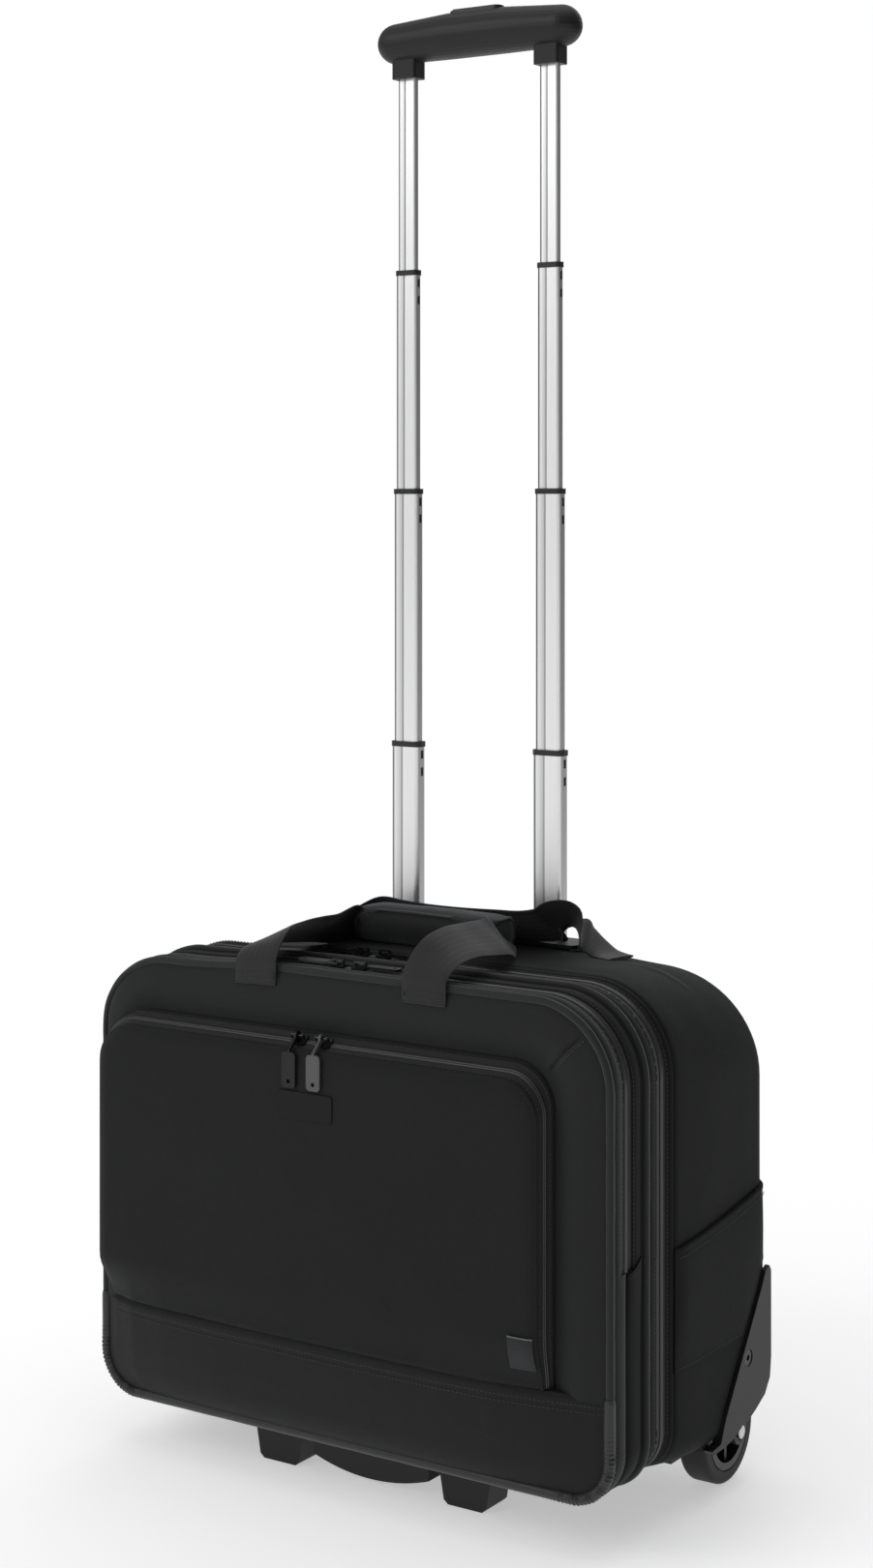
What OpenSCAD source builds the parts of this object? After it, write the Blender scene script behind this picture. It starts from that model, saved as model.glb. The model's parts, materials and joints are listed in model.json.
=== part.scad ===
// Rolling laptop case: a soft three-compartment case on two wheels, with a
// four-stage telescoping trolley handle and two webbing carry handles.
// Frame: +X to the case's left-to-right as seen from the front, +Y to the back,
// +Z up, origin on the floor under the centre of the bounding box. Millimetres.
// Depth stations below are measured from the front seam (y = 0 there); every
// node is then moved back by y_mid so that the origin is centred.

/* [Case] */
// Width across the front compartments
front_w = 434; // [420:1:440]
// Width across the rear compartment
rear_w = 439; // [430:1:442]
// Height of the case's underside above the floor
floor_gap = 38; // [34:1:42]
// Height of the front compartments' top
front_top = 369; // [350:1:372]
// Height of the rear compartment's top
rear_top = 370; // [352:1:373]
// Radius of the front top corners
corner_top = 60; // [40:1:70]
// Radius of the front bottom corners
corner_bottom = 32; // [20:1:36]
// Radius of the rear compartment's top corners
rear_corner = 72; // [50:1:80]
// Radius of the rear compartment's bottom corners
rear_foot_r = 14; // [12:1:18]
// Thickness of the padded cloth walls
wall = 3; // [2:0.5:4]

/* [Depth stations from the front seam] */
// Middle of the front zipper
zip_front_y = 18; // [16:1:22]
// Middle of the main zipper
zip_main_y = 67; // [60:1:74]
// Outside of the back panel
back_y = 221; // [215:1:226]
// Middle of the trolley tubes
tube_y = 177; // [172:1:182]
// Middle of the wheels
wheel_y = 178; // [174:1:180]

/* [Front pocket] */
// Left end of the pocket
pocket_x0 = -207; // [-209:1:-180]
// Right end of the pocket
pocket_x1 = 173; // [150:1:180]
// Top seam of the pocket on the front panel
pocket_z1 = 326; // [300:1:335]
// How far the pocket stands out
pocket_d = 18; // [12:1:22]
// Height of the seam between the upper and the lower front panel
kick_z = 111; // [90:1:130]

/* [Wheels] */
// Wheel diameter
wheel_d = 76; // [70:1:76]
// Wheel width
wheel_w = 22; // [18:1:24]
// Distance of each wheel's middle from the case's middle
wheel_x = 200; // [198:1:202]
// Axle diameter
axle_d = 6; // [5:0.5:8]

/* [Trolley handle] */
// Distance of each tube's middle from the case's middle
tube_x = 63.5; // [58:0.5:70]
// Tube wall
tube_wall = 0.7; // [0.6:0.1:0.8]
// Top of the widest moving stage's collar
collar_4_z = 514; // [500:1:530]
// Top of the second stage's collar
collar_3_z = 708; // [690:1:720]
// Top of the third stage's collar
collar_2_z = 876; // [860:1:890]
// Underside of the grip's sockets
socket_z = 1023; // [1010:1:1040]
// Half length of the grip
grip_half = 89; // [84:1:92]

/* [Carry handles] */
// Webbing width
web_w = 38; // [30:1:40]
// Webbing thickness
web_t = 2.4; // [1.6:0.2:3]
// Distance of each front strap leg from the middle
strap_x = 72; // [66:1:78]

/* [Hidden] */
$fn = 48;
y_mid = 98.97;
zip_gap = 1.2;          // open line between the two tapes of a zipper
tape_t = 1.6;           // zipper tape with its coil
tape_in = 0.7;          // tape's outer face below the wall's outer face
f_zip = zip_front_y;
m_zip = zip_main_y;
fb = [front_w/2, floor_gap, front_top, corner_top, corner_bottom];
rb = [rear_w/2, floor_gap, rear_top, rear_corner, rear_foot_r];
flap_zip_end = 190;     // the front zipper ends here, cloth bellows below
hinge_w = 185;          // half width of the cloth hinge under the case
bevel = 13;             // drop of the pocket's top over its depth
bevel_a = atan(bevel/pocket_d);
collar_h = 4;
overlap = 28;           // length of a stage that stays inside the next one
// outer sizes [x, y, corner radius] of the four moving stages, widest first
s4 = [25, 12, 3.8];
s3 = [22, 9.9, 3.3];
s2 = [19, 7.8, 2.7];
s1 = [16, 5.8, 2.1];
s5 = [28, 15, 4.5];     // fixed outer tube
grip_z = 1051;
part_z = 1052;          // parting plane of the grip's shells

// ---------- shared shapes ----------
module place() translate([0, -y_mid, 0]) children();

// outline in the XZ plane: b = [half width, bottom, top, top radius, bottom radius], inset by i
module ol(b, i = 0) {
  hw = b[0]-i; z0 = b[1]+i; z1 = b[2]-i; rt = b[3]-i; rq = b[4]-i;
  rm = max(rt, rq);
  translate([-(hw-rm), z0]) square([2*(hw-rm), z1-z0]);
  translate([-hw, z0+rq]) square([2*hw, z1-rt-z0-rq]);
  translate([-(hw-rq), z0]) square([2*(hw-rq), rq+1]);
  translate([-(hw-rt), z1-rt-1]) square([2*(hw-rt), rt+1]);
  for (s = [-1, 1]) {
    translate([s*(hw-rq), z0+rq]) circle(rq);
    translate([s*(hw-rt), z1-rt]) circle(rt);
  }
}
// ring between two insets
module ring(b, i0, i1) difference() { ol(b, i0); ol(b, i1); }
// extrude an XZ outline from depth y0 to y1
module slab(y0, y1) rotate([90, 0, 0]) translate([0, 0, -y1]) linear_extrude(y1-y0) children();
module above(z) intersection() { children(); translate([-300, z]) square([600, 600]); }
module below(z) intersection() { children(); translate([-300, -100]) square([600, z+100]); }
module box(x0, x1, y0, y1, z0, z1) translate([x0, y0, z0]) cube([x1-x0, y1-y0, z1-z0]);
// rounded rectangle, centred
module rr(w, d, r) {
  square([w-2*r, d], center = true);
  square([w, d-2*r], center = true);
  for (a = [-1, 1], b = [-1, 1]) translate([a*(w/2-r), b*(d/2-r)]) circle(r);
}
// cylinder along X from x0 to x1
module xcyl(r, x0, x1) translate([x0, 0, 0]) rotate([0, 90, 0]) cylinder(r = r, h = x1-x0);
module pair() { children(); mirror([1, 0, 0]) children(); }

// ribbon swept along stations [x, y, z, wx, wy, wz]: wx..wz points across the ribbon
function unit(v) = v / norm(v);
function pos(s) = [s[0], s[1], s[2]];
function wid(s) = [s[3], s[4], s[5]];
module ribbon(st, w, t) {
  n = len(st);
  dir = [for (i = [0:n-1]) unit(pos(st[min(i+1, n-1)]) - pos(st[max(i-1, 0)]))];
  across = [for (i = [0:n-1]) let (q = wid(st[i])) unit(q - (q*dir[i])*dir[i])];
  nor = [for (i = [0:n-1]) cross(dir[i], across[i])];
  pts = [for (i = [0:n-1]) for (c = [[-1,-1],[1,-1],[1,1],[-1,1]])
    pos(st[i]) + c[0]*w/2*across[i] + c[1]*t/2*nor[i]];
  faces = concat(
    [[0, 1, 2, 3]],
    [for (i = [0:n-2]) for (k = [0:3]) let (a = 4*i+k, b = 4*i+(k+1)%4) [a, a+4, b]],
    [for (i = [0:n-2]) for (k = [0:3]) let (a = 4*i+k, b = 4*i+(k+1)%4) [b, a+4, b+4]],
    [[4*n-1, 4*n-2, 4*n-3, 4*n-4]]);
  polyhedron(points = pts, faces = faces, convexity = 6);
}
function mirrored(s) = [-s[0], s[1], s[2], -s[3], s[4], s[5]];

// ---------- rear compartment ----------
module guard2d() polygon([[129, 39], [142, 40.5], [150, 56], [206, 134], [212, 144], [218, 147], [back_y, 143],
  [back_y, 80], [219, 66], [211, 56], [196, 49], [185, 45], [172, 42], [160, 38], [146, 36.5], [132, 36]]);
module rear_cutouts() {
  // wheel wells at the two lower back corners, and the plastic behind the guards
  pair() {
    box(176, 216, 128, 300, 0, 90);
    box(210, 300, 150, 300, 0, 56);
    box(210, 300, 129, 300, 0, 40.5);
    translate([210, 0, 0]) rotate([90, 0, 90]) linear_extrude(60) intersection() {
      translate([0, 0]) square([400, 90]);
      union() { guard2d(); translate([205, 40]) square([60, 60]); }
    }
  }
}
module rear_gusset() color([0.13, 0.13, 0.14]) place() difference() {
  slab(m_zip+9, back_y-4) ring(rb, 0, 4);
  rear_cutouts();
  box(-88, 88, tube_y-13, tube_y+13, rear_top-6, rear_top+10);
}
module zip_main_rear() color([0.1, 0.1, 0.1]) place()
  slab(m_zip+zip_gap/2, m_zip+9) ring(fb, tape_in, tape_in+tape_t);
module back_panel() color([0.13, 0.13, 0.14]) place() difference() {
  slab(back_y-4, back_y) ol(rb, 1.5);
  rear_cutouts();
}
module false_back() color([0.2, 0.2, 0.21]) place() difference() {
  slab(160, 162) ol(rb, 4);
  rear_cutouts();
}
module side_pockets() color([0.12, 0.12, 0.13]) place() pair()
  translate([rear_w/2, 0, 0]) rotate([90, 0, 90]) linear_extrude(2.5)
    polygon([[80, 106], [180, 106], [188, 112], [213, 147], [213, 208], [80, 191]]);
rear_st = [[60, 152, 387.5, 0, 0.7, -0.7], [76, 152, 389, 0.03, 0.66, -0.74],
  [87, 152, 393.5, 0.25, 0.5, -0.82], [96, 155, 394.5, 0.35, 0.55, -0.75],
  [104, 161, 388.5, 0.25, 0.8, -0.5], [110, 167.5, 380, 0.12, 0.95, -0.25],
  [115, 170.5, 374.6, 0.03, 1, -0.05], [121, 171.5, 371.8, 0, 1, 0], [129, 171.5, 371.4, 0, 1, 0]];
module rear_handle() color([0.09, 0.09, 0.1]) place()
  ribbon(concat([for (i = [len(rear_st)-1:-1:0]) mirrored(rear_st[i])],
    [[-30, 152, 387.5, 0, 0.7, -0.7], [0, 152, 387.5, 0, 0.7, -0.7], [30, 152, 387.5, 0, 0.7, -0.7]],
    rear_st), web_w*0.94, web_t);
module trolley_bezel() color([0.16, 0.16, 0.16]) place() difference() {
  union() {
    translate([0, tube_y, rear_top]) linear_extrude(3) rr(186, 30, 6);
    translate([0, tube_y, rear_top-6]) linear_extrude(6) square([175.6, 25.6], center = true);
  }
  for (s = [-1, 1]) {
    translate([s*tube_x, tube_y, rear_top-1]) linear_extrude(10) rr(s4[0]+0.5, s4[1]+0.5, s4[2]);
    translate([s*tube_x, tube_y, rear_top-10]) linear_extrude(10) rr(s5[0]+0.1, s5[1]+0.1, s5[2]);
  }
  // open middle between the two tube guides
  translate([0, tube_y, rear_top-10]) linear_extrude(20) rr(84, 16, 4);
}

// ---------- trolley tubes ----------
module profile(s, wallt) difference() {
  rr(s[0], s[1], s[2]);
  rr(s[0]-2*wallt, s[1]-2*wallt, max(s[2]-wallt, 0.8));
  for (b = [-1, 1]) translate([0, b*s[1]/2]) square([s[0]*0.2, 0.5], center = true);
}
module tubes(s, z0, z1, wallt) for (k = [-1, 1])
  translate([k*tube_x, tube_y, z0]) linear_extrude(z1-z0) profile(s, wallt);
// lock windows in the +X face of both tubes, below height zc
module windows(s, zc, w, h) for (k = [-1, 1], d = [10, 23])
  box(k*tube_x+s[0]/2-2, k*tube_x+s[0]/2+1, tube_y-w/2, tube_y+w/2, zc-d-h/2, zc-d+h/2);
module collar(s, inner, z) for (k = [-1, 1]) difference() {
  translate([k*tube_x, tube_y, z-collar_h]) linear_extrude(collar_h) rr(s[0]+1.4, s[1]+1.4, s[2]+0.6);
  translate([k*tube_x, tube_y, z-collar_h-1]) linear_extrude(collar_h+2) rr(inner[0]+0.4, inner[1]+0.4, inner[2]);
}
// plastic plug in a tube's lower end, with two lugs that show in the outer tube's windows
module lock(s, outer, z0, zc) for (k = [-1, 1]) {
  translate([k*tube_x, tube_y, z0]) linear_extrude(zc-z0-7.4)
    rr(s[0]-2*tube_wall-0.2, s[1]-2*tube_wall-0.3, max(s[2]-tube_wall, 0.8));
  for (d = [10, 23])
    box(k*tube_x+s[0]/2-3, k*tube_x+outer[0]/2-tube_wall-0.2, tube_y-1.5, tube_y+1.5, zc-d-2.5, zc-d+2.5);
}
module outer_tubes() color([0.6, 0.6, 0.62]) place() tubes(s5, 52, rear_top-1, 0.9);
module tube_base() color([0.16, 0.16, 0.16]) place() difference() {
  translate([0, tube_y, floor_gap+4]) linear_extrude(22) rr(170, 26, 6);
  for (s = [-1, 1]) translate([s*tube_x, tube_y, 52]) linear_extrude(40) rr(s5[0]+0.1, s5[1]+0.1, s5[2]);
  translate([0, tube_y, floor_gap+10]) linear_extrude(40) rr(80, 18, 4);
}
module tubes_4() color([0.78, 0.79, 0.8]) place() difference() {
  tubes(s4, 285, collar_4_z-collar_h, tube_wall); windows(s4, collar_4_z, 3.4, 6.4); }
module collars_4() color([0.08, 0.08, 0.08]) place() collar(s4, s3, collar_4_z);
module tubes_3() color([0.78, 0.79, 0.8]) place() difference() {
  tubes(s3, collar_4_z-overlap, collar_3_z-collar_h, tube_wall);
  windows(s3, collar_3_z, 3.4, 6.4); windows(s3, collar_4_z, 3.4, 6.4); }
module collars_3() color([0.08, 0.08, 0.08]) place() collar(s3, s2, collar_3_z);
module locks_3() color([0.08, 0.08, 0.08]) place() lock(s3, s4, collar_4_z-overlap, collar_4_z);
module tubes_2() color([0.78, 0.79, 0.8]) place() difference() {
  tubes(s2, collar_3_z-overlap, collar_2_z-collar_h, tube_wall);
  windows(s2, collar_2_z, 3.4, 6.4); windows(s2, collar_3_z, 3.4, 6.4); }
module collars_2() color([0.08, 0.08, 0.08]) place() collar(s2, s1, collar_2_z);
module locks_2() color([0.08, 0.08, 0.08]) place() lock(s2, s3, collar_3_z-overlap, collar_3_z);
module tubes_1() color([0.78, 0.79, 0.8]) place() difference() {
  tubes(s1, collar_2_z-overlap, 1046, tube_wall); windows(s1, collar_2_z, 3.4, 6.4); }
module locks_1() color([0.08, 0.08, 0.08]) place() lock(s1, s2, collar_2_z-overlap, collar_2_z);

// ---------- grip ----------
module grip_form() hull() {
  for (s = [-1, 1]) {
    translate([s*(grip_half-15.5), tube_y, grip_z]) sphere(15.5, $fn = 32);
    translate([s*24, tube_y, grip_z+1.5]) sphere(17.5, $fn = 32);
  }
}
module grip_cavity() {
  box(-26, 26, tube_y-9, tube_y+9, 1041, 1061);
}
module grip_lower() color([0.2, 0.2, 0.21]) place() difference() {
  union() {
    intersection() { grip_form(); box(-120, 120, 100, 260, 1000, part_z); }
    for (s = [-1, 1]) translate([s*tube_x, tube_y, socket_z]) linear_extrude(24) rr(21.5, 15.5, 2);
  }
  for (s = [-1, 1]) translate([s*tube_x, tube_y, socket_z-1]) linear_extrude(24.5) rr(s1[0]+0.2, s1[1]+0.2, s1[2]);
  grip_cavity();
}
module grip_upper() color([0.22, 0.22, 0.23]) place() difference() {
  intersection() { grip_form(); box(-120, 120, 100, 260, part_z, 1100); }
  grip_cavity();
  translate([0, tube_y, 1050]) linear_extrude(40) rr(46.8, 15.4, 6);
}
module release_button() color([0.17, 0.17, 0.18]) place() {
  translate([0, tube_y, 1057]) linear_extrude(13.4) rr(46, 14.6, 5.6);
  translate([0, tube_y, 1057]) linear_extrude(3.4) rr(50, 16.6, 4);
  translate([0, tube_y, 1070.4]) linear_extrude(1.2) rr(43, 11.6, 4.6);
}
// compression spring under the button: wire swept along a helix
function helix(i, n, turns, r, z0, z1) =
  [r*cos(360*turns*i/n), r*sin(360*turns*i/n), z0+(z1-z0)*i/n];
module button_spring() color([0.7, 0.7, 0.7]) place() translate([0, tube_y, 0]) {
  n = 60; m = 6; wr = 0.5;
  c = [for (i = [0:n]) helix(i, n, 5, 4, 1041.6, 1056.4)];
  pts = [for (i = [0:n]) let (t = unit(c[min(i+1, n)]-c[max(i-1, 0)]), u = unit(cross(t, [0, 0, 1])), v = cross(u, t))
    for (k = [0:m-1]) c[i] + wr*(cos(60*k)*u + sin(60*k)*v)];
  faces = concat([[for (k = [0:m-1]) k]],
    [for (i = [0:n-1]) for (k = [0:m-1]) let (a = m*i+k, b = m*i+(k+1)%m) [a, a+m, b]],
    [for (i = [0:n-1]) for (k = [0:m-1]) let (a = m*i+k, b = m*i+(k+1)%m) [b, a+m, b+m]],
    [[for (k = [m-1:-1:0]) m*n+k]]);
  polyhedron(points = pts, faces = faces, convexity = 8);
}

// ---------- wheels ----------
module at_axle() translate([0, wheel_y, wheel_d/2]) children();
module housing() {
  difference() {
    union() {
      // guard plate outside the cloth
      translate([rear_w/2, 0, 0]) rotate([90, 0, 90]) linear_extrude(3.5) guard2d();
      // moulded wheel arch that fills the corner cut out of the case
      box(176, 216, 128, back_y, floor_gap, 90);
      translate([216, 0, 0]) rotate([90, 0, 90]) linear_extrude(rear_w/2-216) intersection() {
        square([400, 90]); guard2d();
      }
      // ears that carry the axle
      at_axle() { xcyl(9, 176, 184); xcyl(9, 215.9, rear_w/2); }
      // shoe plate under the corner
      box(170, 204, 104, 128, floor_gap-3.5, floor_gap);
      box(176, 204, 128, 132, floor_gap-3.5, floor_gap+3);
    }
    // wheel space, open below and behind
    at_axle() xcyl(42, 184, 216);
    box(184, 216, wheel_y-42, wheel_y+60, -10, wheel_d/2);
    box(184, 216, wheel_y, wheel_y+60, -10, wheel_d/2+30);
    at_axle() { xcyl(axle_d/2+0.02, 170, 240); xcyl(6.2, 219, 240); }
    // recess for the guard's screw
    translate([0, 185, 89]) xcyl(6, rear_w/2+1.5, 240);
  }
}
module housings() color([0.16, 0.165, 0.16]) place() pair() housing();
module guard_screws() color([0.1, 0.1, 0.1]) place() pair() difference() {
  translate([0, 185, 89]) xcyl(5.6, rear_w/2+1.5, rear_w/2+2.9);
  translate([0, 185, 89]) rotate([0, 90, 0]) cylinder(r = 2.4, h = 400, $fn = 6);
}
module axles() color([0.75, 0.75, 0.76]) place() pair() at_axle() {
  xcyl(axle_d/2, 177, rear_w/2);
  xcyl(4.6, rear_w/2, rear_w/2+1.6);
}
module tyre(s) at_axle() translate([s*wheel_x, 0, 0]) rotate([0, 90, 0]) rotate_extrude($fn = 96)
  difference() {
    union() {
      translate([28, -wheel_w/2]) square([wheel_d/2-28-4, wheel_w]);
      translate([28, -wheel_w/2+4]) square([wheel_d/2-28, wheel_w-8]);
      for (a = [-1, 1]) translate([wheel_d/2-4, a*(wheel_w/2-4)]) circle(4);
    }
    for (a = [-1, 1]) translate([28, a*wheel_w/2]) square([2, 2], center = true);
  }
module hub(s) at_axle() translate([s*wheel_x, 0, 0]) difference() {
  union() {
    rotate([0, 90, 0]) rotate_extrude($fn = 96) {
      translate([axle_d/2+0.06, -12.5]) square([7-axle_d/2, 25]);
      translate([6, -2]) square([18, 4]);
      translate([23, -wheel_w/2]) square([5, wheel_w]);
    }
    for (k = [0:5]) rotate([60*k, 0, 0]) box(-8, 8, -1.6, 1.6, 6, 24);
  }
  // windows between the spokes
  for (k = [0:5]) rotate([60*k+30, 0, 0]) translate([0, 0, 15.5]) rotate([0, 90, 0]) cylinder(r = 4.2, h = 60, center = true);
}
module tyre_left() color([0.07, 0.07, 0.07]) place() tyre(-1);
module hub_left() color([0.2, 0.2, 0.2]) place() hub(-1);
module tyre_right() color([0.07, 0.07, 0.07]) place() tyre(1);
module hub_right() color([0.2, 0.2, 0.2]) place() hub(1);

// ---------- middle section: the main compartment's lid ----------
module section_gusset() color([0.13, 0.13, 0.14]) place() {
  slab(f_zip+9, m_zip-9) ring(fb, 0, wall);
  slab(f_zip+0.3, f_zip+9) below(flap_zip_end) ring(fb, 0, wall);
  // cloth hinge along the underside
  slab(m_zip-9, m_zip-0.3) intersection() {
    ring(fb, 0, wall);
    translate([-hinge_w, 0]) square([2*hinge_w, 60]);
  }
}
module section_piping() color([0.09, 0.09, 0.1]) place() slab(41.5, 46.5) difference() {
  ring(fb, -2.5, 0);
  translate([-109, 0]) square([218, 60]);
}
module divider_panel() color([0.2, 0.2, 0.21]) place() slab(43, 45) ol(fb, wall);
module zip_front_section() color([0.1, 0.1, 0.1]) place()
  slab(f_zip+zip_gap/2, f_zip+9) above(flap_zip_end) ring(fb, tape_in, tape_in+tape_t);
module zip_main_section() color([0.1, 0.1, 0.1]) place()
  slab(m_zip-9, m_zip-zip_gap/2) difference() {
    ring(fb, tape_in, tape_in+tape_t);
    translate([-hinge_w, 0]) square([2*hinge_w, 60]);
  }
// cloth folded inward at each side, under the end of the front zipper
module bellows() color([0.1, 0.1, 0.11]) place() pair()
  for (y = [f_zip+1, f_zip+4]) translate([0, y, 0]) rotate([90, 0, 0]) translate([0, 0, -1])
    linear_extrude(1) polygon([[front_w/2-wall-0.2, 74], [front_w/2-wall-0.2, flap_zip_end],
      [front_w/2-wall-33, flap_zip_end], [front_w/2-wall-5, 74]]);
module foot2d() polygon([[-23, floor_gap-4], [23, floor_gap-4], [17.5, 3], [14, 0], [-14, 0], [-17.5, 3]]);
module front_skid() color([0.15, 0.15, 0.15]) place() {
  box(-108, 108, 30, 63, floor_gap-4, floor_gap);
  for (s = [-1, 1]) translate([s*80, 0, 0]) slab(34, 61) foot2d();
  slab(34, 60) intersection() {
    translate([-50, 0]) square([100, floor_gap-4]);
    union() { translate([0, 150+4]) circle(150, $fn = 180); translate([-50, 22]) square([100, 30]); }
  }
}

// ---------- front flap ----------
module front_panel() color([0.13, 0.13, 0.14]) place() slab(0, 3) above(kick_z) ol(fb, 4.5);
module kick_panel() color([0.15, 0.15, 0.16]) place() {
  slab(-0.8, 3) below(kick_z) ol(fb, 4.5);
  // the padding swells out to meet the pocket's lower seam
  intersection() {
    slab(-30, 0) ol(fb, 4.7);
    translate([-211, 0, 0]) rotate([90, 0, 90]) linear_extrude(422)
      polygon([[0, 46], [-0.8, 46], [-7, 54], [-13, 78], [-16.5, 100], [-16.5, kick_z], [0, kick_z]]);
    linear_extrude(200) polygon([[-211, 2], [-211, -1.5], [-192, -11], [-165, -15], [-110, -16.5],
      [90, -16.5], [140, -13], [172, -7.5], [196, -3], [211, -1], [211, 2]]);
  }
}
module front_piping() color([0.09, 0.09, 0.1]) place() slab(-3, 3) ring(fb, -0.8, 4.5);
module flap_gusset() color([0.13, 0.13, 0.14]) place() {
  slab(3, f_zip-9) ring(fb, 0, wall);
  slab(f_zip-9, f_zip-0.3) below(flap_zip_end) ring(fb, 0, wall);
}
module zip_front_flap() color([0.1, 0.1, 0.1]) place()
  slab(f_zip-9, f_zip-zip_gap/2) above(flap_zip_end) ring(fb, tape_in, tape_in+tape_t);

// pocket: a bevelled ring of cloth that carries the face panel
module pocket2d(i, r) {
  x0 = pocket_x0+i; x1 = pocket_x1-i; z1 = pocket_z1-i;
  translate([x0, kick_z]) square([x1-x0, z1-r-kick_z]);
  translate([x0+r, kick_z]) square([x1-x0-2*r, z1-kick_z]);
  for (x = [x0+r, x1-r]) translate([x, z1-r]) circle(r, $fn = 32);
}
module pocket_solid(i) hull() {
  slab(-0.01, 0) pocket2d(i, 30-i);
  translate([0, 0, -bevel+5]) slab(-pocket_d, -pocket_d+0.01)
    intersection() { pocket2d(i+5, 26-i); translate([-300, kick_z+bevel-5]) square([600, 400]); }
}
module pocket_gusset() color([0.12, 0.12, 0.13]) place() difference() {
  intersection() { pocket_solid(0); box(-300, 300, -pocket_d, -0.8, kick_z, 400); }
  intersection() { pocket_solid(2); box(-300, 300, -60, 60, kick_z+2.5, 400); }
  // open line of the pocket's zipper along the top
  translate([0, -pocket_d/2, pocket_z1-bevel/2]) rotate([bevel_a, 0, 0])
    box(pocket_x0+32, pocket_x1-32, -zip_gap/2, zip_gap/2, -8, 4);
}
module pocket_face() color([0.13, 0.13, 0.14]) place()
  slab(-pocket_d-2, -pocket_d) translate([0, -bevel+5])
    intersection() { pocket2d(5, 26); translate([-300, kick_z+bevel-5]) square([600, 400]); }
module name_plate() color([0.08, 0.08, 0.08]) place()
  slab(-pocket_d-3.4, -pocket_d-2) translate([-17, 277]) rr(46, 19, 2);
module flag_label() color([0.05, 0.05, 0.05]) place()
  box(149, 167, -pocket_d-2.6, -pocket_d-2, 125, 147);

// front carry handle: from the front seam back over the top, then across
front_st = [[strap_x, -4.5, 357, 1, 0, 0], [strap_x, -4.9, 367, 1, 0, 0],
  [strap_x, -4.4, 373.5, 1, 0, -0.05], [72.5, 4, 382, 1, 0, -0.2],
  [73.5, 18, 388.2, 0.92, 0, -0.38], [74.5, 38, 389.8, 0.87, 0, -0.48],
  [74.5, 60, 388.5, 0.82, 0.1, -0.55], [73.5, 80, 386.8, 0.72, 0.3, -0.6],
  [70, 97, 385.6, 0.5, 0.6, -0.6], [63.5, 108.5, 385.2, 0.2, 0.85, -0.45],
  [54, 114.5, 385.2, 0, 0.97, -0.2], [42, 116.3, 385.2, 0, 1, 0]];
module front_handle() color([0.09, 0.09, 0.1]) place()
  ribbon(concat([for (s = front_st) s],
    [[20, 116.5, 385.2, 0, 1, 0], [0, 116.5, 385.2, 0, 1, 0], [-20, 116.5, 385.2, 0, 1, 0]],
    [for (i = [len(front_st)-1:-1:0]) let (s = front_st[i]) [-s[0], s[1], s[2], -s[3], s[4], s[5]]]),
    web_w*0.94, web_t);
module handle_wrap() color([0.1, 0.1, 0.11]) place() difference() {
  translate([-60, 116.5, 385.2]) rotate([90, 0, 90]) linear_extrude(120) rr(40, 30, 12);
  box(-70, 70, 116.5-18.2, 116.5+18.2, 385.2-web_t/2-0.6, 385.2+web_t/2+0.6);
  // the straps turn the corner inside the wrap's open ends
  pair() box(41, 61, 90, 134.7, 375.5, 396.5);
}

// ---------- zipper sliders ----------
// local frame: X along the zipper, Z out of the tape, origin on the tape's face
module slider_base() {
  translate([0, 0, 0.4]) linear_extrude(1.4) rr(12, 9.6, 2.4);
  translate([0, 0, -3.2]) linear_extrude(1.2) rr(12, 9.6, 2.4);
  box(-2, 2, -0.3, 0.3, -2.4, 0.8);
}
module slider_top() {
  slider_base();
  for (s = [-1, 1]) box(s*4-0.8, s*4+0.8, -1.2, 1.2, 1.6, 5.6);
  box(-4.8, 4.8, -1.2, 1.2, 4.7, 5.9);
}
// pull that lies along -X from its cross pin
module pull_top() {
  translate([0, 3.6, 3.2]) rotate([90, 0, 0]) cylinder(r = 0.8, h = 7.2);
  for (s = [-1, 1]) box(-9, 0.8, s*2.8-0.8, s*2.8+0.8, 2.6, 3.8);
  translate([0, 0, 2.4]) linear_extrude(1.6) difference() {
    translate([-20.5, 0]) rr(26, 9, 3.2);
    translate([-29, 0]) circle(1.5);
  }
}
module slider_bar() {
  slider_base();
  for (s = [-1, 1]) box(s*4.4-0.8, s*4.4+0.8, -1.2, 1.2, 1.6, 6.2);
  translate([0, 0, 5.4]) xcyl(0.9, -5, 5);
}
module pull_hang() {
  // eye round the slider's bar, then the tab hanging down
  rotate([0, 90, 0]) rotate([0, 0, 0]) translate([0, 0, -0.9]) linear_extrude(1.8) difference() { circle(3.1); circle(1.6); }
}
module at_pocket(x) translate([x, -pocket_d/2, pocket_z1-bevel/2+0.1]) rotate([bevel_a, 0, 0]) children();
// where the bar of a pocket slider sits: [y, z]
bar_y = -pocket_d/2 - 5.4*sin(bevel_a);
bar_z = pocket_z1-bevel/2+0.1 + 5.4*cos(bevel_a);
module slider_pocket(x) at_pocket(x) slider_bar();
module pull_pocket(x) translate([x, bar_y, bar_z]) {
  pull_hang();
  // link from the eye to the tab, then the tab in front of the face panel
  rotate([0, 90, 0]) translate([0, 0, -0.9]) linear_extrude(1.8) difference() {
    polygon([[1, -2.9], [3, 0], [4.2, -2], [9.5, -8.6], [15.5, -8.6], [15.5, -10.9], [9, -10.9]]);
    circle(1.8);
  }
  translate([0, -9.1, -11-23]) rotate([90, 0, 0]) linear_extrude(1.8)
    difference() { translate([0, 11.5]) rr(11.5, 25, 3); translate([0, 3.5]) circle(1.5); }
}
module slider_pocket_l() color([0.15, 0.15, 0.16]) place() slider_pocket(-30);
module pull_pocket_l() color([0.15, 0.15, 0.16]) place() pull_pocket(-30);
module slider_pocket_r() color([0.15, 0.15, 0.16]) place() slider_pocket(-9);
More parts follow.
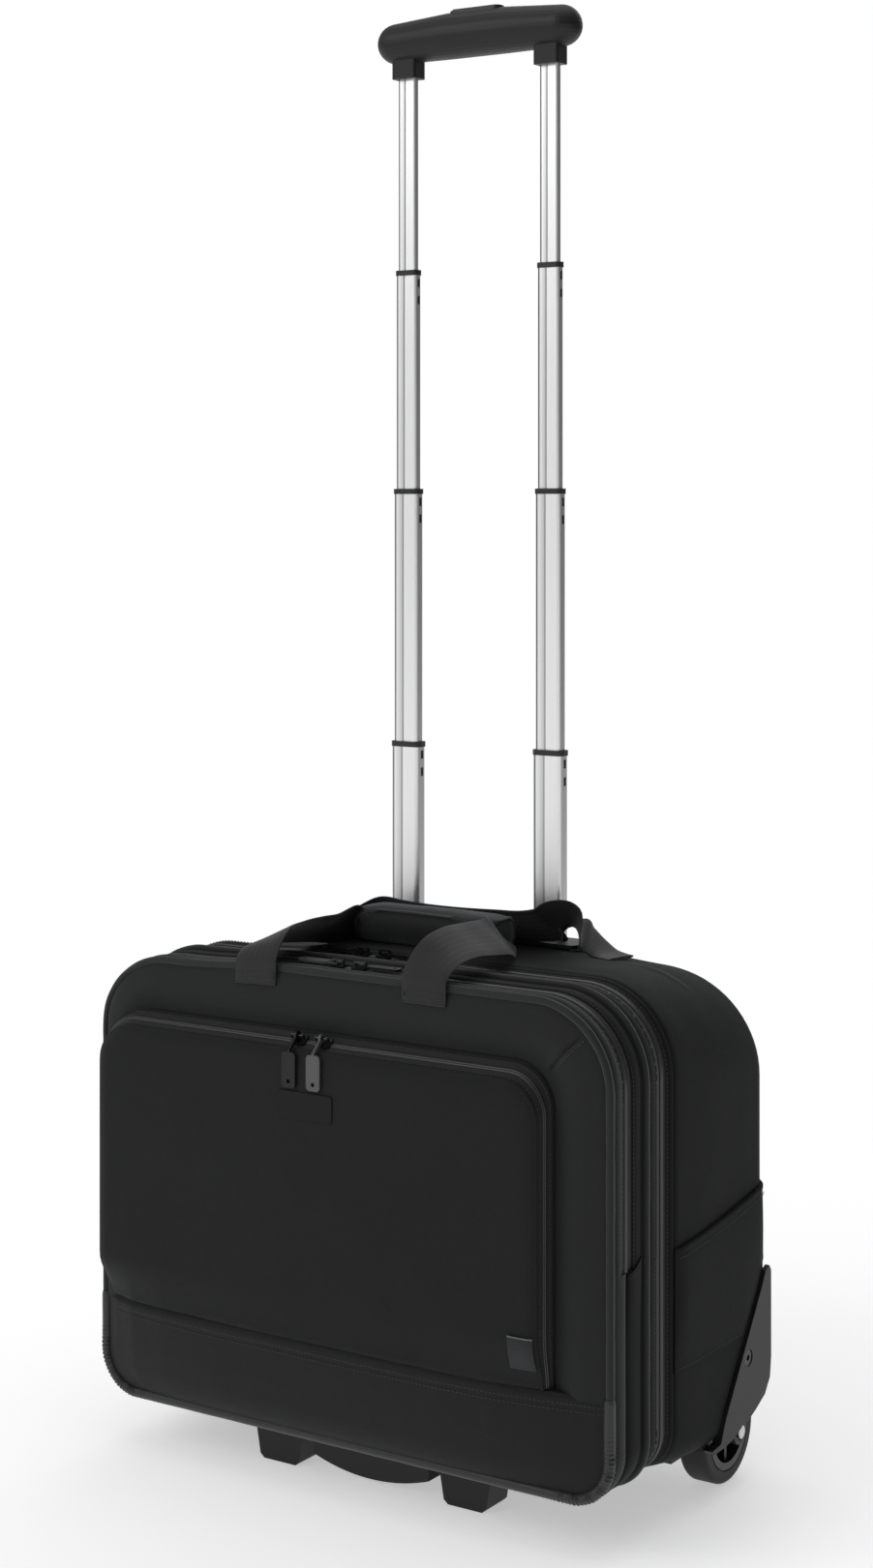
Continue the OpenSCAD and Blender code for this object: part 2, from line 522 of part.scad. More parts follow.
module pull_pocket_r() color([0.3, 0.3, 0.31]) place() pull_pocket(-9);
module at_top(x, y, flip) translate([x, y, front_top-tape_in]) scale(1) rotate([0, 0, flip ? 180 : 0]) children();
module slider_front_l() color([0.1, 0.1, 0.1]) place() at_top(-16, f_zip, false) slider_top();
module pull_front_l() color([0.35, 0.35, 0.36]) place() at_top(-16, f_zip, false) pull_top();
module slider_front_r() color([0.1, 0.1, 0.1]) place() at_top(3, f_zip, true) slider_top();
module pull_front_r() color([0.12, 0.12, 0.12]) place() at_top(3, f_zip, true) pull_top();
module slider_main_l() color([0.1, 0.1, 0.1]) place() at_top(-29, m_zip, false) slider_top();
module pull_main_l() color([0.12, 0.12, 0.12]) place() at_top(-29, m_zip, false) pull_top();
module slider_main_r() color([0.1, 0.1, 0.1]) place() at_top(-10, m_zip, true) slider_top();
module pull_main_r() color([0.12, 0.12, 0.12]) place() at_top(-10, m_zip, true) pull_top();

zip_main_rear();
rear_gusset();
back_panel();
false_back();
side_pockets();
rear_handle();
trolley_bezel();
outer_tubes();
tube_base();
housings();
guard_screws();
axles();
zip_front_section();
section_gusset();
section_piping();
divider_panel();
bellows();
zip_main_section();
front_skid();
front_panel();
kick_panel();
front_piping();
flap_gusset();
zip_front_flap();
pocket_gusset();
pocket_face();
name_plate();
flag_label();
front_handle();
handle_wrap();
slider_pocket_l();
pull_pocket_l();
slider_pocket_r();
pull_pocket_r();
slider_front_l();
pull_front_l();
slider_front_r();
pull_front_r();
slider_main_l();
pull_main_l();
slider_main_r();
pull_main_r();
tyre_left();
hub_left();
tyre_right();
hub_right();
tubes_4();
collars_4();
tubes_3();
collars_3();
locks_3();
tubes_2();
collars_2();
locks_2();
tubes_1();
locks_1();
grip_upper();
grip_lower();
release_button();
button_spring();
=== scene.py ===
import bpy, bmesh, math, json
import numpy as np
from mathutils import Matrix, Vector, noise
from mathutils.bvhtree import BVHTree

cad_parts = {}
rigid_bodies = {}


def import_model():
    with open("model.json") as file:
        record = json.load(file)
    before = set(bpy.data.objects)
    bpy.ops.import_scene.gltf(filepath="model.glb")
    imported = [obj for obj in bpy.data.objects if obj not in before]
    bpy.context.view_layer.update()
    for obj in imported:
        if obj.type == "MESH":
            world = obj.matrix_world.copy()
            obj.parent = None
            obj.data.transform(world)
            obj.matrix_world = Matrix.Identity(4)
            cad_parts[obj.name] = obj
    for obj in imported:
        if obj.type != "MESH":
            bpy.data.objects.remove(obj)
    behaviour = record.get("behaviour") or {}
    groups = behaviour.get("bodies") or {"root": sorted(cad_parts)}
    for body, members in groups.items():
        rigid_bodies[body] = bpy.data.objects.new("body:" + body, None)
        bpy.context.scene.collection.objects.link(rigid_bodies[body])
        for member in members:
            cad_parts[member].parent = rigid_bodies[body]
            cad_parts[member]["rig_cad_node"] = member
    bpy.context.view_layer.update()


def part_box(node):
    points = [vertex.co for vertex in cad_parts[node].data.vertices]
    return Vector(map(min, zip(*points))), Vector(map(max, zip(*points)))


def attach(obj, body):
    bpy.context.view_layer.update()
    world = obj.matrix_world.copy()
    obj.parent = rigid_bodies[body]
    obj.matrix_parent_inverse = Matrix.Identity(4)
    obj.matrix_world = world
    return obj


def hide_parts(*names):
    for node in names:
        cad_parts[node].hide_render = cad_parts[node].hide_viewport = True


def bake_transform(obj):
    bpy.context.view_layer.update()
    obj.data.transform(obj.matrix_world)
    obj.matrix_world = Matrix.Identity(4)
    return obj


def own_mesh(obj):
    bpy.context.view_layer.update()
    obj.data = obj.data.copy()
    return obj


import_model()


YM = 98.97            # depth stations are measured from the front seam, in mm
FB = (217.0, 38.0, 369.0, 60.0, 32.0)     # half width, bottom, top, top radius, bottom radius
RB = (219.5, 38.0, 370.0, 72.0, 14.0)
ZC = 190.0            # the front zipper ends at this height


def sm(x, a, b):
    t = np.clip((np.asarray(x, float) - a) / (b - a), 0, 1)
    return t * t * (3 - 2 * t)


def sag_left(x, z):
    """the stuffed case droops a little at its left shoulder"""
    return 4.6 * sm(-x, 45, 150) * sm(z, 315, 369)


def W(P):
    P = np.array(P, float).reshape(-1, 3).copy()
    P[:, 2] -= sag_left(P[:, 0], P[:, 2])
    P[:, 1] -= YM
    return P * 0.001


def V3(x, y, z):
    return Vector((x / 1000, (y - YM) / 1000, z / 1000))


def wob(P, amp, size, seed=0.0):
    """smooth noise, one value per point of P (mm)"""
    Q = np.asarray(P, float).reshape(-1, 3) / size
    return amp * np.array([noise.noise(Vector((q[0] + seed, q[1] + 2.3 * seed, q[2] - seed))) for q in Q])


# =====================================================================
# materials
# =====================================================================
class NT:
    def __init__(self, name):
        self.m = bpy.data.materials.new(name)
        self.m.use_nodes = True
        self.t = self.m.node_tree
        self.b = self.t.nodes["Principled BSDF"]
        self.tc = self.t.nodes.new("ShaderNodeTexCoord")

    def n(self, kind, **kw):
        x = self.t.nodes.new(kind)
        for k, v in kw.items():
            setattr(x, k, v)
        return x

    def l(self, a, b):
        self.t.links.new(a, b)

    def mapping(self, scale=(1, 1, 1), src=None):
        m = self.n("ShaderNodeMapping")
        m.inputs["Scale"].default_value = scale
        self.l(src or self.tc.outputs["Object"], m.inputs["Vector"])
        return m.outputs["Vector"]

    def noise(self, scale, detail=2, vec=None, rough=0.5):
        x = self.n("ShaderNodeTexNoise")
        x.inputs["Scale"].default_value = scale
        x.inputs["Detail"].default_value = detail
        x.inputs["Roughness"].default_value = rough
        self.l(vec or self.tc.outputs["Object"], x.inputs["Vector"])
        return x.outputs["Fac"]

    def wave(self, period, axis, vec=None, profile="SIN"):
        x = self.n("ShaderNodeTexWave", wave_type="BANDS", bands_direction=axis, wave_profile=profile)
        x.inputs["Scale"].default_value = 2 * math.pi / (20 * period)
        x.inputs["Distortion"].default_value = 0
        self.l(vec or self.tc.outputs["Object"], x.inputs["Vector"])
        return x.outputs["Fac"]

    def math(self, op, a, b=None):
        x = self.n("ShaderNodeMath", operation=op)
        for i, v in enumerate((a, b)):
            if v is None:
                continue
            if isinstance(v, (int, float)):
                x.inputs[i].default_value = v
            else:
                self.l(v, x.inputs[i])
        return x.outputs[0]

    def ramp(self, fac, stops):
        x = self.n("ShaderNodeValToRGB")
        e = x.color_ramp.elements
        while len(e) < len(stops):
            e.new(0.5)
        for i, (p, c) in enumerate(stops):
            e[i].position = p
            e[i].color = (*c, 1) if len(c) == 3 else c
        self.l(fac, x.inputs["Fac"])
        return x.outputs["Color"]

    def bump(self, h, strength, dist, nxt=None):
        x = self.n("ShaderNodeBump")
        x.inputs["Strength"].default_value = strength
        x.inputs["Distance"].default_value = dist
        self.l(h, x.inputs["Height"])
        if nxt is not None:
            self.l(nxt, x.inputs["Normal"])
        return x.outputs["Normal"]

    def color(self, out):
        self.l(out, self.b.inputs["Base Color"])

    def rough(self, fac, lo, hi):
        x = self.n("ShaderNodeMapRange")
        x.inputs["To Min"].default_value = lo
        x.inputs["To Max"].default_value = hi
        self.l(fac, x.inputs["Value"])
        self.l(x.outputs[0], self.b.inputs["Roughness"])

    def normal(self, out):
        self.l(out, self.b.inputs["Normal"])

    def set(self, **kw):
        for k, v in kw.items():
            self.b.inputs[k.replace("_", " ")].default_value = v
        return self


def fabric(name, base, spread=0.22, period=0.0007, rough=(0.78, 0.92), sheen=0.16, bump=0.35, tint=(1, 1, 1), spec=0.35, slub=0.25):
    f = NT(name)
    fine = f.noise(1500, 2)
    mid = f.noise(260, 3)
    big = f.noise(16, 2)
    threads = f.math("ADD", f.math("ADD", f.wave(period, "X"), f.wave(period * 1.04, "Y")), f.wave(period * 0.98, "Z"))
    mix = f.math("ADD", f.math("ADD", f.math("MULTIPLY", fine, 0.55), f.math("MULTIPLY", mid, slub)), f.math("MULTIPLY", big, 0.2))
    lo = tuple(base * c * (1 - spread) for c in tint)
    hi = tuple(base * c * (1 + spread * 1.35) for c in tint)
    f.color(f.ramp(mix, [(0.36, lo), (0.64, hi)]))
    f.rough(mid, *rough)
    h = f.math("ADD", f.math("MULTIPLY", threads, 0.33), f.math("MULTIPLY", fine, 0.5))
    f.normal(f.bump(h, bump, 0.00018, f.bump(mid, 0.12, 0.0006)))
    f.set(Sheen_Weight=sheen, Sheen_Roughness=0.45, Specular_IOR_Level=spec)
    f.b.inputs["Sheen Tint"].default_value = (0.82, 0.86, 0.9, 1)
    return f.m


def webbing_mat(name, base, rib=0.0011, tint=(1, 1, 1)):
    f = NT(name)
    uv = f.n("ShaderNodeUVMap", uv_map="wv").outputs["UV"]
    sep = f.n("ShaderNodeSeparateXYZ")
    f.l(uv, sep.inputs[0])
    # herringbone ribs: u runs along the strap, v across it
    vv = f.math("PINGPONG", f.math("ADD", sep.outputs[1], 10.0), 0.0024)
    ph = f.math("ADD", f.math("MULTIPLY", sep.outputs[0], 1.0), f.math("MULTIPLY", vv, 0.8))
    com = f.n("ShaderNodeCombineXYZ")
    f.l(ph, com.inputs[0])
    f.l(sep.outputs[1], com.inputs[1])
    ribs = f.wave(rib, "X", com.outputs[0])
    cross = f.wave(0.0012, "Y", com.outputs[0])
    fine = f.noise(1300, 2)
    mix = f.math("ADD", f.math("MULTIPLY", ribs, 0.6), f.math("MULTIPLY", fine, 0.4))
    f.color(f.ramp(mix, [(0.15, tuple(base * 0.72 * c for c in tint)), (0.85, tuple(base * 1.25 * c for c in tint))]))
    f.rough(fine, 0.55, 0.75)
    h = f.math("ADD", f.math("MULTIPLY", ribs, 0.8), f.math("MULTIPLY", cross, 0.25))
    f.normal(f.bump(h, 0.38, 0.0003))
    f.set(Sheen_Weight=0.3, Sheen_Roughness=0.4, Specular_IOR_Level=0.4)
    return f.m


def tape_mat(name, base):
    f = NT(name)
    uv = f.n("ShaderNodeUVMap", uv_map="wv").outputs["UV"]
    sep = f.n("ShaderNodeSeparateXYZ")
    f.l(uv, sep.inputs[0])
    ph = f.math("ADD", sep.outputs[0], f.math("PINGPONG", f.math("ADD", sep.outputs[1], 10.0), 0.0016))
    com = f.n("ShaderNodeCombineXYZ")
    f.l(ph, com.inputs[0])
    ribs = f.wave(0.0011, "X", com.outputs[0])
    fine = f.noise(1500, 2)
    f.color(f.ramp(f.math("ADD", f.math("MULTIPLY", ribs, 0.5), f.math("MULTIPLY", fine, 0.5)),
                   [(0.2, (base * 0.6, base * 0.62, base * 0.58)), (0.8, (base * 1.3, base * 1.34, base * 1.24))]))
    f.rough(fine, 0.6, 0.8)
    f.normal(f.bump(ribs, 0.45, 0.0002))
    f.set(Sheen_Weight=0.15, Specular_IOR_Level=0.35)
    return f.m


def plastic(name, base, rough=(0.38, 0.5), grain=0.25, gscale=1400, tint=(1, 1, 1), spec=0.5, wear=0.5, gdist=0.00012):
    f = NT(name)
    fine = f.noise(gscale, 3, rough=0.6)
    big = f.noise(22, 3)
    cell = f.n("ShaderNodeTexVoronoi")
    cell.inputs["Scale"].default_value = gscale * 0.7
    f.l(f.tc.outputs["Object"], cell.inputs["Vector"])
    geo = f.n("ShaderNodeNewGeometry")
    edge = f.n("ShaderNodeMapRange")
    edge.inputs["From Min"].default_value = 0.52
    edge.inputs["From Max"].default_value = 0.62
    f.l(geo.outputs["Pointiness"], edge.inputs["Value"])
    scuff = f.math("MULTIPLY", edge.outputs[0], f.math("MULTIPLY", f.noise(180, 3), wear))
    mix = f.math("ADD", f.math("ADD", f.math("MULTIPLY", big, 0.35), f.math("MULTIPLY", fine, 0.35)), f.math("MULTIPLY", scuff, 0.6))
    f.color(f.ramp(mix, [(0.2, tuple(base * 0.85 * c for c in tint)), (0.6, tuple(base * 1.15 * c for c in tint)),
                         (1.0, tuple(base * 2.2 * c for c in tint))]))
    f.rough(f.math("ADD", f.math("MULTIPLY", fine, 0.5), f.math("MULTIPLY", big, 0.5)), *rough)
    f.normal(f.bump(f.math("ADD", f.math("MULTIPLY", cell.outputs["Distance"], 0.6), fine), grain, gdist))
    f.set(Specular_IOR_Level=spec)
    return f.m


def metal(name, base, rough, streak=0.4, aniso=0.4):
    f = NT(name)
    v = f.mapping((1, 1, 0.012))
    st = f.noise(2600, 3, v, 0.6)
    big = f.noise(9, 2, f.mapping((1, 1, 0.25)))
    f.color(f.ramp(f.math("ADD", f.math("MULTIPLY", st, 0.6), f.math("MULTIPLY", big, 0.4)),
                   [(0.25, tuple(0.9 * c for c in base)), (0.75, base)]))
    f.rough(st, *rough)
    f.normal(f.bump(st, streak, 0.00003))
    f.set(Metallic=1.0, Anisotropic=aniso)
    return f.m


def coil_mat(name, base, rough=0.32):
    f = NT(name)
    n = f.noise(900, 2)
    f.color(f.ramp(n, [(0.3, (base * 0.8,) * 3), (0.7, (base * 1.25,) * 3)]))
    f.rough(n, rough - 0.06, rough + 0.1)
    f.normal(f.bump(n, 0.2, 0.0001))
    f.set(Specular_IOR_Level=0.6)
    return f.m


COOL = (0.97, 1.0, 1.03)
M_cloth = fabric("heathered_cloth", 0.0108, tint=COOL)
M_pocket = fabric("heathered_cloth_pocket", 0.0056, tint=COOL, sheen=0.1)
# darker copy of the heathered cloth for the sides, rear and hinge strips: painted shade, with its base colour lowered
# because less light falls there
M_side_shaded = fabric("heathered_cloth_side", 0.0048, tint=COOL, sheen=0.07, spec=0.2)
M_kick = fabric("coated_cloth", 0.0060, spread=0.12, rough=(0.58, 0.7), sheen=0.05, bump=0.25, spec=0.26, tint=(0.98, 1.0, 1.01), slub=0.15)
M_pipe = fabric("piping_cloth", 0.0095, spread=0.14, period=0.0005, rough=(0.6, 0.75), sheen=0.3, tint=COOL)
M_kpipe = fabric("coated_piping_cloth", 0.0130, spread=0.1, rough=(0.42, 0.55), sheen=0.1, bump=0.2, spec=0.55, tint=(0.97, 1.0, 1.0))
M_wrap = fabric("wrap_cloth", 0.0080, spread=0.16, period=0.0006, sheen=0.3, tint=COOL)
M_bind = fabric("binding_cloth", 0.0085, spread=0.1, period=0.0009, rough=(0.6, 0.72), sheen=0.2, bump=0.5, tint=COOL)
M_lining = fabric("lining_cloth", 0.075, spread=0.12, period=0.0005, rough=(0.6, 0.75), sheen=0.15, bump=0.25, tint=(0.98, 1, 1.02))
M_bellow = fabric("bellows_cloth", 0.012, spread=0.12, sheen=0.2, tint=COOL)
M_web = webbing_mat("webbing", 0.0088, tint=COOL)
M_tape = tape_mat("zipper_tape", 0.0090)
M_coil = coil_mat("zipper_coil", 0.020)
M_thread = coil_mat("sewing_thread", 0.0125, 0.55)
M_label = fabric("woven_label", 0.006, spread=0.15, period=0.0004, rough=(0.5, 0.6), sheen=0.3, tint=(0.85, 0.95, 1.15))
M_labeledge = fabric("woven_label_edge", 0.16, spread=0.1, period=0.0004, rough=(0.5, 0.6), sheen=0.2)
M_guard = plastic("moulded_plastic", 0.0085, spec=0.34, rough=(0.40, 0.5), tint=(0.98, 1.02, 0.98), grain=0.3, gscale=1100)
M_black = plastic("black_plastic", 0.009, rough=(0.3, 0.42), grain=0.15)
M_grip = plastic("grip_plastic", 0.0115, spec=0.38, rough=(0.40, 0.52), tint=(0.98, 1.0, 1.03), grain=0.35, gscale=1500)
# darker copy of the grip plastic for the lower shell, which faces down: painted shade
M_grip_lower_shaded = plastic("grip_plastic_lower", 0.0075, spec=0.34, rough=(0.40, 0.52), tint=(0.98, 1.0, 1.03), grain=0.35, gscale=1500)
M_button = plastic("button_plastic", 0.011, rough=(0.3, 0.42), grain=0.12)
def tube_mat(name, hw):
    """brushed aluminium profile: painted shade on its rounded edge bands, painted highlight bands across its face, and
    a fine groove down its face, bumped and painted as a dark line
    """
    f = NT(name)
    v = f.mapping((1, 1, 0.012))
    st = f.noise(2600, 3, v, 0.6)
    sep = f.n("ShaderNodeSeparateXYZ")
    f.l(f.tc.outputs["Object"], sep.inputs[0])
    u = f.math("SUBTRACT", sep.outputs[0], f.math("MULTIPLY", f.math("SIGN", sep.outputs[0]), 0.0635))
    t = f.n("ShaderNodeMapRange")
    t.inputs["From Min"].default_value = -hw
    t.inputs["From Max"].default_value = hw
    f.l(u, t.inputs["Value"])
    d = 0.028
    # base colour across the face: painted shade on both rounded edges (dark at the left, grey at the right), painted
    # highlight bands, and a painted dark line at the groove with a painted highlight beside it
    c = f.ramp(t.outputs[0], [(0.0, (0.17, 0.17, 0.17)), (0.11, (0.20, 0.20, 0.20)), (0.15, (0.97, 0.97, 0.97)), (0.22, (0.90, 0.91, 0.91)), (0.36, (0.70, 0.70, 0.71)), (0.42, (0.46, 0.46, 0.47)),
                              (0.45, (1.0, 1.0, 1.0)), (0.60, (0.96, 0.96, 0.97)), (0.90, (0.97, 0.97, 0.98)), (0.95, (1.0, 1.0, 1.0)), (0.975, (0.66, 0.66, 0.67)), (1.0, (0.62, 0.62, 0.63))])
    mixn = f.n("ShaderNodeMix", data_type="RGBA", blend_type="MULTIPLY")
    mixn.inputs[0].default_value = 1.0
    f.l(c, mixn.inputs[6])
    f.l(f.ramp(st, [(0.25, (0.92, 0.92, 0.92)), (0.75, (1, 1, 1))]), mixn.inputs[7])
    f.color(mixn.outputs[2])
    f.rough(st, 0.34, 0.44)
    g = f.ramp(t.outputs[0], [(0.0, (0.5, 0.5, 0.5)), (0.13, (1, 1, 1)), (0.40, (1, 1, 1)), (0.425, (0, 0, 0)), (0.45, (1, 1, 1)), (1.0, (1, 1, 1))])
    f.normal(f.bump(st, 0.3, 0.00003, f.bump(g, 0.5, 0.0005)))
    f.set(Metallic=1.0, Anisotropic=0.3)
    return f.m


TUBES = {n: tube_mat("anodised_" + n, h) for n, h in (("outer_tubes", 0.014), ("tubes_4", 0.0125), ("tubes_3", 0.011), ("tubes_2", 0.0095), ("tubes_1", 0.008))}
M_steel = metal("steel", (0.62, 0.62, 0.63), (0.2, 0.35), 0.2, 0)
M_slider = plastic("lacquered_slider", 0.010, rough=(0.12, 0.22), grain=0.05, spec=0.75, gscale=600)
M_pull = plastic("lacquered_pull", 0.0065, rough=(0.24, 0.32), grain=0.10, spec=0.3, gscale=700)
M_grey = plastic("pull_grey", 0.062, rough=(0.3, 0.4), grain=0.12, spec=0.6, gscale=700)
M_plate = plastic("name_plate_plastic", 0.0018, rough=(0.24, 0.32), grain=0.1, spec=0.2, gscale=800)
M_tyre = plastic("tyre_rubber", 0.008, rough=(0.55, 0.7), grain=0.35, gscale=900, wear=0.3)
M_hub = plastic("hub_plastic", 0.014, rough=(0.35, 0.48), grain=0.2)

CADMAT = {
    "trolley_bezel": M_guard, "outer_tubes": TUBES["outer_tubes"], "tube_base": M_guard, "housings": M_guard, "guard_screws": M_black,
    "axles": M_steel, "front_skid": M_guard, "name_plate": M_plate, "tyre_left": M_tyre, "tyre_right": M_tyre,
    "hub_left": M_hub, "hub_right": M_hub, "tubes_4": TUBES["tubes_4"], "tubes_3": TUBES["tubes_3"], "tubes_2": TUBES["tubes_2"], "tubes_1": TUBES["tubes_1"],
    "collars_4": M_black, "collars_3": M_black, "collars_2": M_black, "locks_3": M_black, "locks_2": M_black, "locks_1": M_black,
    "grip_upper": M_grip, "grip_lower": M_grip_lower_shaded, "release_button": M_button,
    "slider_pocket_l": M_slider, "slider_pocket_r": M_slider, "slider_front_l": M_slider, "slider_front_r": M_slider,
    "slider_main_l": M_slider, "slider_main_r": M_slider, "pull_pocket_l": M_pull, "pull_pocket_r": M_grey,
    "pull_front_l": M_grey, "pull_front_r": M_pull, "pull_main_l": M_pull, "pull_main_r": M_pull,
}
NODES = {}
for o in bpy.data.objects:
    if "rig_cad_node" in o:
        NODES[o.name if o.name in CADMAT else str(o["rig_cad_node"])] = o
for n, mat in CADMAT.items():
    o = NODES.get(n) or bpy.data.objects.get(n)
    if o is None:
        continue
    if not o.material_slots:
        o.data.materials.append(mat)
    for s in o.material_slots:
        s.material = mat


# =====================================================================
# mesh helpers
# =====================================================================
def mesh_obj(name, V, F, body, mats, uv=None, midx=None, sharp=42, fix=True, replaces=()):
    me = bpy.data.meshes.new(name)
    me.from_pydata(W(V).tolist(), [], [tuple(int(i) for i in f) for f in F])
    if uv is not None:
        lay = me.uv_layers.new(name="wv")
        lay.data.foreach_set("uv", np.asarray(uv, np.float32).ravel())
    if not isinstance(mats, (list, tuple)):
        mats = [mats]
    for m in mats:
        me.materials.append(m)
    if midx is not None:
        me.polygons.foreach_set("material_index", np.asarray(midx, np.int32))
    if fix:
        bm = bmesh.new()
        bm.from_mesh(me)
        bmesh.ops.recalc_face_normals(bm, faces=bm.faces)
        bm.to_mesh(me)
        bm.free()
    me.polygons.foreach_set("use_smooth", [True] * len(me.polygons))
    me.set_sharp_from_angle(angle=math.radians(sharp))
    me.update()
    ob = bpy.data.objects.new(name, me)
    bpy.context.collection.objects.link(ob)
    if body:
        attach(ob, body)
    if replaces:
        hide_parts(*replaces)
    return ob


def loft(P, cu=False, cv=True, caps=True, U=None, Vv=None, jm=None):
    """P[nu, nv, 3]: quads; caps close the open ends of a closed section"""
    nu, nv = P.shape[:2]
    F, UV, MI = [], [], []
    for i in range(nu if cu else nu - 1):
        a, b = i * nv, ((i + 1) % nu) * nv
        for j in range(nv if cv else nv - 1):
            k = (j + 1) % nv
            F.append((a + j, b + j, b + k, a + k))
            if U is not None:
                UV += [(U[i], Vv[j]), (U[i + 1], Vv[j]), (U[i + 1], Vv[j + 1]), (U[i], Vv[j + 1])]
            MI.append(jm[j] if jm is not None else 0)
    if cv and not cu and caps:
        for f in (range(nv), range((nu - 1) * nv, nu * nv)):
            F.append(tuple(f))
            UV += [(0, 0)] * nv
            MI.append(0)
    return P.reshape(-1, 3), F, (UV if U is not None else None), MI


def cumlen(P):
    return np.r_[0, np.cumsum(np.linalg.norm(np.diff(P, axis=0), axis=1))]


# ---- rounded outline in XZ, by arc length from the bottom centre towards +X
def outline(b, inset=0.0):
    hw, z0, z1, rt, rq = b
    hw -= inset; z0 += inset; z1 -= inset
    rt = max(rt - inset, 0.6); rq = max(rq - inset, 0.6)
    pts, nrm = [(0, z0)], [(0, -1)]

    def arc(cx, cz, r, a0, a1):
        n = 24
        for i in range(n + 1):
            a = math.radians(a0 + (a1 - a0) * i / n)
            pts.append((cx + r * math.cos(a), cz + r * math.sin(a)))
            nrm.append((math.cos(a), math.sin(a)))
    arc(hw - rq, z0 + rq, rq, -90, 0)
    arc(hw - rt, z1 - rt, rt, 0, 90)
    arc(-(hw - rt), z1 - rt, rt, 90, 180)
    arc(-(hw - rq), z0 + rq, rq, 180, 270)
    pts.append((0, z0)); nrm.append((0, -1))
    p, n = np.array(pts), np.array(nrm)
    return p, n, np.r_[0, np.cumsum(np.hypot(*np.diff(p, axis=0).T))]


def at(o, s):
    p, n, S = o
    s = np.mod(np.asarray(s, float), S[-1])
    x, z = np.interp(s, S, p[:, 0]), np.interp(s, S, p[:, 1])
    nx, nz = np.interp(s, S, n[:, 0]), np.interp(s, S, n[:, 1])
    l = np.hypot(nx, nz)
    return x, z, nx / l, nz / l


def s_right(b, z):
    hw, z0, z1, rt, rq = b
    return (hw - rq) + math.pi / 2 * rq + (z - z0 - rq)


def span(b, which, step=4.0, zc=ZC, xb=None):
    o = outline(b)
    L = o[2][-1]
    if which == "full":
        return o, np.linspace(0, L, int(L / step), endpoint=False), True
    if which == "upper":
        a, c = s_right(b, zc), L - s_right(b, zc)
    elif which == "lower":
        a, c = L - s_right(b, zc), L + s_right(b, zc)
    else:                                   # all but the bottom between -xb and xb
        a, c = (xb or 110), L - (xb or 110)
    return o, np.linspace(a, c, int((c - a) / step) + 1), False


def sweep(name, b, which, prof, body, mats, step=4.0, zc=ZC, xb=None, jm=None, amp=0.0, wsize=55.0, free=None, seed=0.0, replaces=(), sharp=42, uvs=False, mod=None, sfrom=None, sto=None):
    """closed section prof[(y, out)] swept along the outline"""
    o, s, closed = span(b, which, step, zc, xb)
    if sfrom is not None:
        s = np.linspace(sfrom, sto, int((sto - sfrom) / step) + 1); closed = False
    x, z, nx, nz = at(o, s)
    pr = np.array([(p[0], p[1]) for p in prof], float)
    P = np.zeros((len(s), len(pr), 3))
    for j, (y, out) in enumerate(pr):
        P[:, j] = np.c_[x + nx * out, np.full_like(x, y), z + nz * out]
    if amp and free is not None:
        for j, f in enumerate(free):
            if f:
                d = wob(P[:, j], amp * f, wsize, seed)
                P[:, j, 0] += nx * d; P[:, j, 2] += nz * d
    if mod is not None:
        P = mod(P, s, x, z, nx, nz)
    U = Vv = None
    if uvs:
        U = np.r_[s, s[-1] + step] * 0.001
        c = np.r_[cumlen(np.c_[pr, np.zeros(len(pr))]), 0]
        c[-1] = c[-2] + np.hypot(*(pr[0] - pr[-1]))
        Vv = c * 0.001
    V, F, UV, MI = loft(P, cu=closed, cv=True, U=U, Vv=Vv, jm=jm)
    return mesh_obj(name, V, F, body, mats, uv=UV, midx=MI if jm is not None else None, replaces=replaces, sharp=sharp)


def cord(name, b, which, yc, oc, r, body, mat, step=3.0, zc=ZC, xb=None, k=12, mod=None, replaces=(), sfrom=None, sto=None, squash=1.0):
    """round cord along the outline, at depth yc and oc outside of it"""
    o, s, closed = span(b, which, step, zc, xb)
    if sfrom is not None:
        s = np.linspace(sfrom, sto, int((sto - sfrom) / step) + 1); closed = False
    x, z, nx, nz = at(o, s)
    rr = np.full_like(s, r) if mod is None else mod(s, r, x, z)
    P = np.zeros((len(s), k, 3))
    for j in range(k):
        a = 2 * math.pi * j / k
        out = oc + rr * math.cos(a)
        P[:, j] = np.c_[x + nx * out, yc + rr * squash * math.sin(a), z + nz * out]
    V, F, _, _ = loft(P, cu=closed)
    return mesh_obj(name, V, F, body, mat, replaces=replaces)


def tube3(name, pts, r, body, mat, k=8, ry=None, nrm=None, closed=False):
    """round or flattened tube along free 3-D points; nrm is the flat side's normal"""
    pts = np.asarray(pts, float)
    n = len(pts)
    if closed:
        t = np.roll(pts, -1, 0) - np.roll(pts, 1, 0)
    else:
        t = np.gradient(pts, axis=0)
    t /= np.linalg.norm(t, axis=1)[:, None]
    if nrm is None:
        nrm = np.tile([0.0, 0.0, 1.0], (n, 1))
    nrm = np.asarray(nrm, float)
    nrm = nrm - (nrm * t).sum(1)[:, None] * t
    nrm /= np.linalg.norm(nrm, axis=1)[:, None] + 1e-12
    bn = np.cross(t, nrm)
    ry = ry if ry is not None else r
    P = np.zeros((n, k, 3))
    for j in range(k):
        a = 2 * math.pi * (j + 0.5) / k
        P[:, j] = pts + bn * (r * math.cos(a)) + nrm * (ry * math.sin(a))
    V, F, _, _ = loft(P, cu=closed)
    return mesh_obj(name, V, F, body, mat)


THREAD = {}


